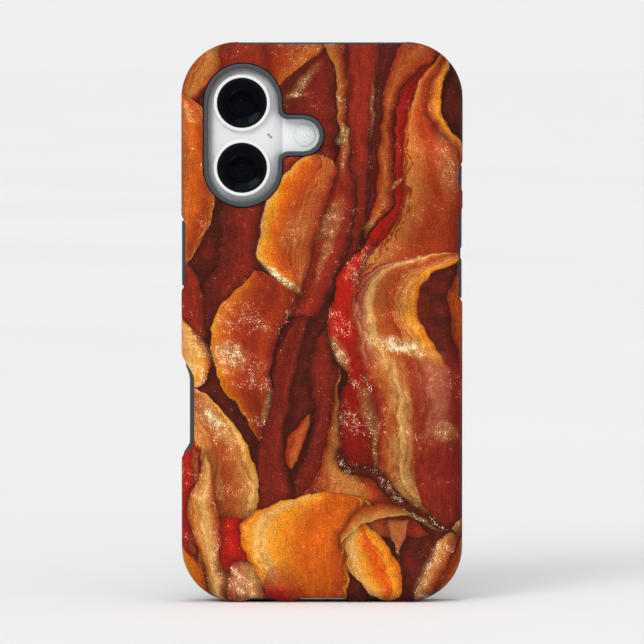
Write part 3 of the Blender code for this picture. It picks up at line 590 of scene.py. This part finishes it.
def print_place(graph):
    """Where a point is in the print, right and up in millimetres. The print goes on round the edges."""
    geometry = graph.node("ShaderNodeNewGeometry").outputs
    x, y, z = graph.split(geometry["Position"])
    normal_x, _, normal_z = graph.split(geometry["Normal"])
    depth = graph.math("SUBTRACT", y, SHELL_BACK)
    right = graph.muladd(normal_x, depth, x)
    up = graph.muladd(normal_z, depth, z)
    return graph.times(right, MM), graph.times(up, MM)


def streaks(seed):
    """Points of an uneven wave across a rasher, for the fine lines that run along it."""
    dice = random.Random(seed)
    return [(STREAK_START + i / STREAKS_ACROSS, dice.gauss(0.0, STREAK_HEIGHT)) for i in range(STREAK_COUNT)]


def rasher_group(rasher, seed):
    """A node group that lays one rasher and its shadow over the colours below it."""
    tree = bpy.data.node_groups.new(rasher.name, "ShaderNodeTree")
    tree.interface.new_socket("Below", in_out="INPUT", socket_type="NodeSocketColor")
    for name in ("Right", "Up", "Drift", "Sparkle"):
        tree.interface.new_socket(name, in_out="INPUT", socket_type="NodeSocketFloat")
    tree.interface.new_socket("Colour", in_out="OUTPUT", socket_type="NodeSocketColor")
    graph = Graph(tree)
    given = graph.node("NodeGroupInput").outputs
    below, right, up, drift, sparkle = (given[i] for i in range(5))

    along, across = (right, up) if rasher.across else (up, right)
    low = graph.curve(along, rasher.low)
    high = graph.curve(along, rasher.high)
    from_low = graph.math("SUBTRACT", across, low)
    from_high = graph.math("SUBTRACT", high, across)
    inside = graph.math("MINIMUM", from_low, from_high)
    start = min(rasher.low[0][0], rasher.high[0][0])
    end = max(rasher.low[-1][0], rasher.high[-1][0])
    inside = graph.math("MINIMUM", inside, graph.math("SUBTRACT", along, start))
    inside = graph.math("MINIMUM", inside, graph.math("SUBTRACT", end, along))
    width = graph.math("MAXIMUM", graph.math("ADD", from_low, from_high), LEAST_WIDTH)
    share = graph.math("DIVIDE", from_low, width)

    place = graph.muladd(drift, STREAK_DRIFT, share)
    streak = graph.curve(place, streaks(seed))
    colour = graph.ramp(graph.muladd(streak, STREAK_SHIFT, share), rasher.colours)

    phase = graph.muladd(share, WAVE_ACROSS, graph.times(along, WAVE_ALONG))
    wave = graph.math("SINE", graph.muladd(drift, WAVE_DRIFT, phase))
    light = graph.muladd(streak, STREAK_LIGHT, 1.0)
    light = graph.muladd(wave, WAVE_LIGHT, light)
    rim = graph.math("MINIMUM", graph.muladd(inside, RIM_FADE, RIM_TONE), 1.0)
    light = graph.times(light, rim)
    if rasher.tone:
        light = graph.times(light, graph.curve(along, rasher.tone))
    colour = graph.scale(colour, light)
    crest = graph.muladd(wave, CREST_GAIN * rasher.shine, CREST_BASE * rasher.shine)
    colour = graph.mix(graph.math("ADD", crest, sparkle), colour, CREAM)

    mask = graph.muladd(inside, MASK_FADE, 0.5)
    if rasher.ends:
        for start, end in (rasher.ends[:2], rasher.ends[:1:-1]):
            fade = graph.muladd(along, 1 / (end - start), -start / (end - start))
            mask = graph.math("MINIMUM", mask, fade)
        ground = below
    else:
        shadow = graph.math("MAXIMUM", graph.muladd(inside, SHADOW_FADE, SHADOW_TONE), 0.0)
        ground = graph.mix(graph.math("MINIMUM", shadow, SHADOW_TONE), below, BLACK)
    result = graph.mix(mask, ground, colour)
    tree.links.new(result, graph.node("NodeGroupOutput").inputs[0])
    return tree


def add_glints(graph, colour, right, up, sparkle):
    """Lays the patches of wet glints over the print."""
    total = 0.0
    for x, z, half_length, half_width, turn, strength in GLINTS:
        cos, sin = math.cos(math.radians(turn)), math.sin(math.radians(turn))
        dx = graph.math("SUBTRACT", right, x)
        dz = graph.math("SUBTRACT", up, z)
        long = graph.muladd(dx, cos / half_length, graph.times(dz, sin / half_length))
        wide = graph.muladd(dz, cos / half_width, graph.times(dx, -sin / half_width))
        square = graph.muladd(long, long, graph.times(wide, wide))
        patch = graph.muladd(square, -GLINT_FALL * strength, GLINT_PEAK * strength)
        total = graph.math("ADD", total, graph.math("MAXIMUM", patch, 0.0))
    colour = graph.mix(graph.times(total, GLINT_HAZE), colour, PALE)
    return graph.mix(graph.muladd(total, GLINT_GAIN, sparkle), colour, CREAM)


class Finish(Graph):
    """The nodes of a new material, which end in one shader."""

    def __init__(self, name):
        self.made = bpy.data.materials.new(name)
        self.made.use_nodes = True
        super().__init__(self.made.node_tree)

    def set(self, name, value):
        self.feed(self.tree.nodes["Principled BSDF"].inputs[name], value)

    def patchy(self, scale, detail, smooth, rough):
        """Patches of noise, which take the roughness from smooth to rough."""
        patches = self.noise(self.position(), scale, detail)[0]
        self.set("Roughness", self.remap(patches, *PATCH_SPAN, smooth, rough))
        return patches


def painted_edge_shade(graph):
    """Painted shade: the print a little darker towards its lower, upper and right edge."""
    x, _, z = graph.split(graph.position())
    across = graph.times(x, 1 / CASE_SIDE)
    height = graph.muladd(z, 2 / CASE_HEIGHT, -1.0)
    past_side = graph.muladd(graph.math("ABSOLUTE", across), CASE_SIDE, CASE_CORNER - CASE_SIDE)
    half = CASE_HEIGHT / 2
    past_end = graph.muladd(graph.math("ABSOLUTE", height), half, CASE_CORNER - half)
    inner = graph.math("MINIMUM", graph.math("MAXIMUM", past_side, past_end), 0.0)
    side = graph.math("MAXIMUM", past_side, 0.0)
    end = graph.math("MAXIMUM", past_end, 0.0)
    reach = graph.math("ADD", graph.length(side, end), inner)
    nearness = graph.remap(reach, CASE_CORNER - EDGE_SHADE_START, CASE_CORNER - EDGE_SHADE_FULL)
    at_end = graph.math("POWER", graph.math("ABSOLUTE", height), END_POWER)
    end_strength = graph.muladd(across, END_SHADE_RIGHT, END_SHADE)
    end_strength = graph.muladd(height, -END_SHADE_LOWER, end_strength)
    side_strength = graph.times(graph.math("MAXIMUM", across, 0.0), SIDE_SHADE)
    extra = graph.times(graph.math("SUBTRACT", end_strength, side_strength), at_end)
    strength = graph.math("ADD", side_strength, extra)
    return graph.math("SUBTRACT", 1.0, graph.times(strength, nearness))


def printed_plastic():
    """Hard satin plastic with a picture of bacon rashers printed on it, and painted shade along its edges."""
    graph = Finish("printed plastic")
    right, up = print_place(graph)
    flat = graph.vector(right, up)
    warp = graph.noise(flat, *WARP_NOISE, "2D")
    shift_x, shift_z, _ = graph.split_colour(warp["Color"])
    right = graph.math("ADD", right, graph.muladd(shift_x, WARP_REACH, -WARP_REACH / 2))
    up = graph.math("ADD", up, graph.muladd(shift_z, WARP_REACH, -WARP_REACH / 2))
    drift = graph.noise(flat, *DRIFT_NOISE, "2D")[0]
    upright = graph.vector(graph.times(right, FIBRE_ACROSS), graph.times(up, FIBRE_ALONG))
    level = graph.vector(graph.times(right, FIBRE_ALONG), graph.times(up, FIBRE_ACROSS))
    fibres = [graph.noise(place, *FIBRE_NOISE, "2D")[0] for place in (upright, level)]
    drifts = [graph.muladd(fibre, FIBRE_DRIFT, drift) for fibre in fibres]

    specks = graph.noise(flat, *SPECK_NOISE, "2D")[0]
    clumps = graph.noise(flat, *CLUMP_NOISE, "2D")[0]
    sparkle = graph.muladd(specks, SPECK_GAIN, SPARKLE_BASE)
    sparkle = graph.muladd(clumps, CLUMP_GAIN, sparkle)
    ground = graph.noise(flat, *GROUND_NOISE, "2D")[0]
    colour = graph.ramp(ground, ((0.3, CHAR), (0.5, DARK), (0.7, MAROON)))
    for seed, rasher in enumerate(RASHERS):
        layer = graph.node("ShaderNodeGroup", node_tree=rasher_group(rasher, seed))
        for socket, value in zip(layer.inputs, (colour, right, up, drifts[rasher.across], sparkle)):
            graph.feed(socket, value)
        colour = layer.outputs[0]
    colour = graph.mix(MIDDLE_SHARE, colour, MIDDLE)
    colour = add_glints(graph, colour, right, up, sparkle)

    grain = graph.noise(flat, *GRAIN_NOISE, "2D")[0]
    coarse = graph.muladd(clumps, COARSE_GAIN, GRAIN_BASE)
    coarse = graph.muladd(fibres[0], COARSE_GAIN, coarse)
    colour = graph.scale(colour, graph.muladd(grain, GRAIN_GAIN, coarse))
    # Painted shade where the case's rounded edges turn from the light
    colour = graph.scale(colour, painted_edge_shade(graph))
    graph.set("Base Color", colour)
    graph.set("Roughness", 0.42)
    graph.set("Specular IOR Level", 0.07)
    return graph.made


def rubber():
    """Dark grey moulded rubber with a fine matt surface."""
    graph = Finish("dark rubber")
    speckle = graph.patchy(2600.0, 3.0, 0.55, 0.72)
    patches = graph.noise(graph.position(), 90.0, 2.0)[0]
    graph.set("Base Color", graph.mix(patches, srgb(52, 55, 60), srgb(62, 65, 70)))
    bump = graph.node("ShaderNodeBump")
    bump.inputs["Distance"].default_value = 0.00004
    bump.inputs["Strength"].default_value = 0.6
    graph.feed(bump.inputs["Height"], speckle)
    graph.set("Normal", bump.outputs[0])
    return graph.made


def smooth_finish(name, colour_a, colour_b, roughness, metallic=0.0, scale=60.0):
    """A smooth finish whose colour and roughness vary a little."""
    graph = Finish(name)
    patches = graph.patchy(scale, 3.0, roughness * 0.85, roughness * 1.15)
    graph.set("Base Color", graph.mix(patches, colour_a, colour_b))
    graph.set("Metallic", metallic)
    return graph.made


def disc(node):
    """The middle and the radius of a round node that faces along Y."""
    low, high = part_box(node)
    return ((low.x + high.x) / 2, (low.z + high.z) / 2), (high.x - low.x) / 2


def distance_from(graph, x, z):
    """The distance in millimetres from a line along Y."""
    place_x, _, place_z = graph.split(graph.position())
    right = graph.muladd(place_x, MM, -x * MM)
    up = graph.muladd(place_z, MM, -z * MM)
    return graph.length(right, up)


def lens_finish(which, centre):
    """Dark coated optics with a faint tint where the front element curves.

    Its lighter middle and rings are painted reflections, at the front element and at the glass's rim.
    """
    graph = Finish(f"lens glass {which}")
    distance = distance_from(graph, *centre)
    # Painted reflections: a lighter middle and lighter rings, the brightest at the glass's rim
    rings = graph.ramp(graph.times(distance, 1 / LENS_RAMP), (
        (0.0, srgb(8, 9, 10)), (0.13, srgb(4, 4, 5)), (0.17, srgb(8, 9, 11)), (0.22, srgb(4, 4, 6)),
        (0.42, srgb(5, 5, 9)), (0.56, srgb(6, 6, 8)), (0.61, srgb(13, 12, 13)), (0.67, srgb(26, 25, 26)),
    ))
    graph.set("Base Color", rings)
    graph.patchy(500.0, 2.0, 0.08, 0.13)
    graph.set("Specular IOR Level", 0.05)
    graph.set("Specular Tint", (0.55, 0.7, 1.0, 1.0))
    return graph.made


def plateau_finish():
    """Glossy white glass with painted shade for two small sound holes."""
    graph = Finish("plateau glass")
    patches = graph.patchy(60.0, 3.0, 0.24, 0.32)
    tone = graph.mix(patches, srgb(216, 218, 219), srgb(224, 226, 227))
    # The sound holes are not cut: each is a spot of painted shade
    for place in MICROPHONES:
        hole_shade = graph.remap(distance_from(graph, *place), HOLE_CORE, HOLE_RADIUS, HOLE_SHADE, 0.0)
        tone = graph.mix(graph.math("MAXIMUM", hole_shade, 0.0), tone, srgb(70, 70, 72))
    graph.set("Base Color", tone)
    return graph.made


def flash_finish():
    """A milky window: cool at its rim, and warm and bright in the middle."""
    graph = Finish("flash diffuser")
    centre, _ = disc("flash_window")
    distance = distance_from(graph, *centre)
    tone = graph.ramp(graph.times(distance, 1 / FLASH_RAMP), (
        (0.0, srgb(250, 248, 242)), (0.08, srgb(240, 238, 231)), (0.14, srgb(232, 230, 223)),
        (0.3, srgb(240, 240, 237)), (0.45, srgb(228, 232, 232)), (0.52, srgb(238, 241, 241)),
        (0.66, srgb(226, 231, 233)), (0.73, srgb(216, 221, 224)), (0.8, srgb(236, 238, 239)),
    ))
    graph.set("Base Color", tone)
    graph.patchy(900.0, 2.0, 0.16, 0.26)
    graph.set("Subsurface Weight", 0.15)
    graph.set("Subsurface Scale", 0.001)
    return graph.made


def display_finish():
    """Dark glass, black in a narrow band along its edge."""
    graph = Finish("display glass")
    low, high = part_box("display_glass")
    x, _, z = graph.split(graph.position())
    beyond = []
    for value, start, end in ((x, low.x, high.x), (z, low.z, high.z)):
        middle, half = (start + end) / 2, (end - start) / 2
        off = graph.math("ABSOLUTE", graph.muladd(value, MM, -middle * MM))
        beyond.append(graph.math("MAXIMUM", graph.math("SUBTRACT", off, half * MM - DISPLAY_CORNER), 0.0))
    inner = DISPLAY_CORNER - DISPLAY_BORDER
    edge = graph.remap(graph.length(*beyond), inner - DISPLAY_SOFT, inner)
    edge = graph.math("MINIMUM", graph.math("MAXIMUM", edge, 0.0), 1.0)
    patches = graph.patchy(90.0, 2.0, 0.07, 0.1)
    active = graph.mix(patches, srgb(15, 16, 19), srgb(20, 21, 25))
    graph.set("Base Color", graph.mix(edge, active, srgb(4, 4, 5)))
    graph.set("Specular IOR Level", 0.3)
    return graph.made


def front_camera_finish():
    """A small dark lens with a lighter ring round it."""
    graph = Finish("front camera lens")
    centre, radius = disc("front_camera")
    share = graph.times(distance_from(graph, *centre), 1 / (MM * radius))
    tone = graph.ramp(share, (
        (0.0, srgb(18, 24, 40)), (0.25, srgb(6, 8, 14)), (0.5, srgb(10, 11, 14)), (0.62, srgb(34, 35, 38)),
        (0.74, srgb(14, 14, 16)), (1.0, srgb(30, 31, 33)),
    ))
    graph.set("Base Color", tone)
    graph.patchy(900.0, 2.0, 0.06, 0.12)
    return graph.made


def paint(node_name, material):
    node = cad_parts[node_name]
    node.data.materials.clear()
    node.data.materials.append(material)


def add_object(name, data):
    made = bpy.data.objects.new(name, data)
    bpy.context.scene.collection.objects.link(made)
    return made


def add_aimed(name, data, direction):
    """Adds a light or camera that looks along a direction."""
    made = add_object(name, data)
    made.rotation_mode = "QUATERNION"
    made.rotation_quaternion = direction.to_track_quat("-Z", "Y")
    return made


def piece_from(name, mesh, material, slot, *nodes):
    """Adds a piece that stands in for CAD nodes."""
    mesh.shade_smooth()
    mesh.set_sharp_from_angle(angle=SHARP_ANGLE)
    mesh.materials.append(material)
    piece = add_object(name, mesh)
    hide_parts(*nodes)
    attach(piece, "root")


def mesh_from(bm, name):
    bmesh.ops.recalc_face_normals(bm, faces=bm.faces)
    mesh = bpy.data.meshes.new(name)
    bm.to_mesh(mesh)
    bm.free()
    return mesh


def arc(centre, radius, start_deg, end_deg, steps):
    """Points on an arc, both ends included."""
    angles = [math.radians(start_deg + (end_deg - start_deg) * i / steps) for i in range(steps + 1)]
    return [(centre[0] + radius * math.cos(a), centre[1] + radius * math.sin(a)) for a in angles]


def join_rings(bm, rings):
    """Adds the faces between rings that follow each other. A ring may be one point over and over."""
    for low, high in zip(rings, rings[1:]):
        for i in range(len(low)):
            j = (i + 1) % len(low)
            bm.faces.new(list(dict.fromkeys((low[i], low[j], high[j], high[i]))))


def loft(name, rings):
    """A closed body through rings of points, with a flat face at each end."""
    bm = bmesh.new()
    rows = [[bm.verts.new(point) for point in ring] for ring in rings]
    join_rings(bm, rows)
    bm.faces.new(rows[0])
    bm.faces.new(rows[-1])
    return mesh_from(bm, name)


def lathe(name, profile, centre):
    """A closed body from a profile of radius and Y, which begins and ends on the axis or meets itself."""
    bm = bmesh.new()
    angles = [2 * math.pi * i / LATHE_STEPS for i in range(LATHE_STEPS)]
    rows = []
    for radius, y in profile:
        if radius == 0.0:
            rows.append([bm.verts.new((centre[0], y, centre[1]))] * LATHE_STEPS)
        else:
            turned = [(centre[0] + radius * math.cos(a), y, centre[1] + radius * math.sin(a)) for a in angles]
            rows.append([bm.verts.new(point) for point in turned])
    if profile[0][0] > 0.0:
        rows.append(rows[0])
    join_rings(bm, rows)
    return mesh_from(bm, name)


def panel_ring(half_width, half_height, corner, y):
    """A ring of points round the phone's outline."""
    middle = CASE_HEIGHT / 2
    x, z = half_width - corner, half_height - corner
    points = []
    for turn, centre in enumerate(((x, middle + z), (-x, middle + z), (-x, middle - z), (x, middle - z))):
        points += arc(centre, corner, 90 * turn, 90 * turn + 90, PANEL_CORNER_STEPS)
    return [(x, y, z) for x, z in points]


def plateau_spokes():
    """Centre, angle and length of a spoke to each point of the plateau's foot.

    The foot runs just inside the liner's raised rim, and further out where the opening widens for the flash.
    """
    steps = [LENS_STEP * (1 - i / PLATEAU_HALF_STEPS) for i in range(1, 2 * PLATEAU_HALF_STEPS)]
    upper = [math.pi * i / PILL_STEPS for i in range(PILL_STEPS + 1)]
    spokes = [(LENS_STEP, angle, PLATEAU_FOOT) for angle in upper]
    spokes += [(step, math.pi, PLATEAU_FOOT) for step in steps]
    spokes += [(-LENS_STEP, math.pi + angle, PLATEAU_FOOT) for angle in upper]
    for step in reversed(steps):
        share = min(max((LOBE_REACH - abs(step)) / LOBE_EASE, 0.0), 1.0)
        widened = PLATEAU_FOOT + (PLATEAU_LOBE_FOOT - PLATEAU_FOOT) * share * share * (3 - 2 * share)
        spokes.append((step, 0.0, widened))
    return spokes


def make_plateau(material):
    """The camera plateau: steep at its foot, and levelling off towards the lenses."""
    spokes = plateau_spokes()
    rings = []
    for i in range(-1, PLATEAU_STEPS + 1):
        share = max(i, 0) / PLATEAU_STEPS
        height = PLATEAU_RISE * (1 - (1 - share) ** 2) if i >= 0 else -PLATEAU_ROOT
        ring = []
        for step, angle, foot in spokes:
            reach = foot + (PLATEAU_TOP - foot) * share
            x = CAMERA_X + reach * math.cos(angle)
            z = CAMERA_Z + step + reach * math.sin(angle)
            ring.append((x, PHONE_BACK - height, z))
        rings.append(ring)
    piece_from("camera_plateau", loft("camera_plateau", rings), material, "white_glass", "back_glass")


def make_back_panel(material):
    """The phone's flat back, with a rounded edge."""
    low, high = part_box("back_glass")
    half_width, half_height = (high.x - low.x) / 2, (high.z - low.z) / 2
    rings = [panel_ring(half_width, half_height, GLASS_CORNER, high.y)]
    for across, along in arc((0.0, 0.0), GLASS_EDGE, 0, 90, EDGE_STEPS):
        inset = GLASS_EDGE - across
        y = PHONE_BACK + GLASS_EDGE - along
        rings.append(panel_ring(half_width - inset, half_height - inset, GLASS_CORNER - inset, y))
    piece_from("back_panel", loft("back_panel", rings), material, "white_glass", "back_glass")


def make_lens(which, centre, ring_material, glass_material):
    """A lens: a metal ring with a rounded lip, and the dark optics inside it."""
    foot = PHONE_BACK - PLATEAU_RISE + RING_ROOT
    outer, inner = RING_RADIUS, RING_RADIUS - RING_WIDTH
    half = RING_LIP / 2
    lip = arc((outer - RING_LIP, -RING_TOP - RING_LIP), RING_LIP, 0, 90, LIP_STEPS)
    throat = arc((inner + half, -RING_TOP - half), half, 90, 180, EDGE_STEPS)
    profile = [(outer, foot)] + [(x, -y) for x, y in lip + throat] + [(inner, foot)]
    name = f"lens_bezel_{which}"
    piece_from(name, lathe(name, profile, centre), ring_material, "white_metal", f"lens_ring_{which}")

    radius = inner - RING_CLEARANCE
    optics = [(radius * share, RING_TOP + depth) for share, depth in LENS_STEPS]
    profile = [(0.0, foot), (radius, foot)] + optics
    name = f"lens_glass_{which}"
    piece_from(name, lathe(name, profile, centre), glass_material, "black_glass", f"lens_cover_{which}")


def make_flash(material):
    """The flash: a round window with ring-shaped grooves."""
    centre, radius = disc("flash_window")
    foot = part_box("flash_window")[1].y
    front = [(radius * share, PHONE_BACK - height) for share, height in FLASH_STEPS]
    profile = [(0.0, foot), (radius, foot)] + front
    piece_from("flash_lens", lathe("flash_lens", profile, centre), material, "flash_diffuser", "flash_window")


def make_liner(material):
    """The soft liner, with every moulded edge rounded."""
    bm = bmesh.new()
    bm.from_mesh(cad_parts["case_liner"].data)
    bmesh.ops.remove_doubles(bm, verts=bm.verts, dist=WELD_DISTANCE)
    bmesh.ops.dissolve_limit(bm, angle_limit=FLAT_ANGLE, verts=bm.verts, edges=bm.edges)
    sharp = [edge for edge in bm.edges if edge.is_manifold and edge.calc_face_angle() > SHARP_ANGLE]
    bmesh.ops.bevel(
        bm, geom=sharp, offset=LINER_ROUND, offset_type="OFFSET", segments=3, profile=0.5, affect="EDGES",
        clamp_overlap=False,
    )
    bmesh.ops.triangulate(bm, faces=[face for face in bm.faces if len(face.verts) > 4])
    bmesh.ops.dissolve_degenerate(bm, dist=WELD_DISTANCE, edges=bm.edges)
    piece_from("soft_liner", mesh_from(bm, "soft_liner"), material, "dark_rubber", "case_liner")


def dress_nodes():
    """Gives the CAD nodes that stay their finishes."""
    white_metal = smooth_finish("white metal", srgb(226, 228, 228), srgb(238, 239, 238), 0.3, 0.3)
    paint("case_shell", printed_plastic())
    paint("phone_frame", white_metal)
    paint("camera_button", smooth_finish("button glass", srgb(196, 198, 200), srgb(206, 208, 209), 0.15))
    paint("port_tongue", smooth_finish("black plastic", srgb(20, 20, 21), srgb(28, 28, 29), 0.5))
    screw_steel = smooth_finish("screw steel", srgb(150, 150, 152), srgb(176, 176, 178), 0.3, 1.0)
    paint("bottom_screw_left", screw_steel)
    paint("bottom_screw_right", screw_steel)
    paint("display_glass", display_finish())
    paint("front_camera", front_camera_finish())


def make_pieces():
    """The finer pieces that take the place of CAD nodes."""
    make_liner(rubber())
    make_back_panel(smooth_finish("white glass", srgb(230, 232, 233), srgb(238, 240, 241), 0.3))
    make_plateau(plateau_finish())
    bezel = smooth_finish("bezel", srgb(224, 224, 223), srgb(230, 230, 229), 0.35)
    for which, step in (("upper", LENS_STEP), ("lower", -LENS_STEP)):
        centre = (LENS_X, CAMERA_Z + step)
        make_lens(which, centre, bezel, lens_finish(which, centre))
    make_flash(flash_finish())


def make_floor():
    """A pale floor so wide that it meets the room's own tone in the distance."""
    corners = ((-1, -1), (1, -1), (1, 1), (-1, 1))
    mesh = bpy.data.meshes.new("floor")
    mesh.from_pydata([(x * FLOOR_REACH, y * FLOOR_REACH, 0.0) for x, y in corners], [], [(0, 1, 2, 3)])
    floor = add_object("floor", mesh)
    finish = smooth_finish("pale floor", srgb(237, 237, 237), srgb(238, 238, 238), 0.9, scale=2.0)
    mesh.materials.append(finish)


def soft_sun(name, direction, energy, spread_deg):
    light = bpy.data.lights.new(name, "SUN")
    light.energy = energy
    light.angle = math.radians(spread_deg)
    add_aimed(name, light, Vector(direction))


def make_light():
    """A bright room, dimmer behind the camera and the part, and soft suns. The camera sees one tone."""
    world = bpy.data.worlds.new("studio")
    bpy.context.scene.world = world
    world.use_nodes = True
    graph = Graph(world.node_tree)
    room = world.node_tree.nodes["Background"]
    direction = graph.node("ShaderNodeTexCoord").outputs["Generated"]
    x, y, _ = graph.split(direction)
    dim = graph.remap(graph.math("MAXIMUM", y, -1.0), *CAMERA_SIDE_SPAN, CAMERA_SIDE_SHARE, 1.0)
    dim = graph.math("MINIMUM", dim, 1.0)
    dim = graph.times(dim, graph.remap(y, *BEHIND_SPAN, 1.0, BEHIND_SHARE))
    lean = graph.muladd(x, WORLD_LEAN, 1.0)
    graph.feed(room.inputs["Color"], graph.scale(WHITE, graph.times(dim, lean)))
    room.inputs["Strength"].default_value = ROOM_STRENGTH
    seen = graph.node("ShaderNodeBackground")
    seen.inputs["Color"].default_value = srgb(239, 239, 239)
    rays = graph.node("ShaderNodeLightPath")
    choice = graph.node("ShaderNodeMixShader")
    graph.feed(choice.inputs[0], rays.outputs["Is Camera Ray"])
    graph.feed(choice.inputs[1], room.outputs[0])
    graph.feed(choice.inputs[2], seen.outputs[0])
    graph.feed(world.node_tree.nodes["World Output"].inputs["Surface"], choice.outputs[0])

    for sun in SUNS:
        soft_sun(*sun)


def make_camera():
    """A long lens that looks at the middle of the phone from a little above it."""
    low, high = CAD_BOX
    middle = (low + high) / 2
    camera = bpy.data.cameras.new("camera")
    camera.sensor_width = SENSOR_WIDTH
    camera.lens = SENSOR_WIDTH * CAMERA_DISTANCE * PX_PER_METRE / PHOTO_SIDE_PX
    camera.clip_end = 200.0
    away = Vector((0.0, -math.cos(CAMERA_ELEVATION), math.sin(CAMERA_ELEVATION)))
    obj = add_aimed("camera", camera, -away)
    obj.location = middle + away * CAMERA_DISTANCE
    bpy.context.scene.camera = obj


dress_nodes()
make_pieces()
make_floor()
make_light()
make_camera()
bpy.context.scene.view_settings.view_transform = "Standard"
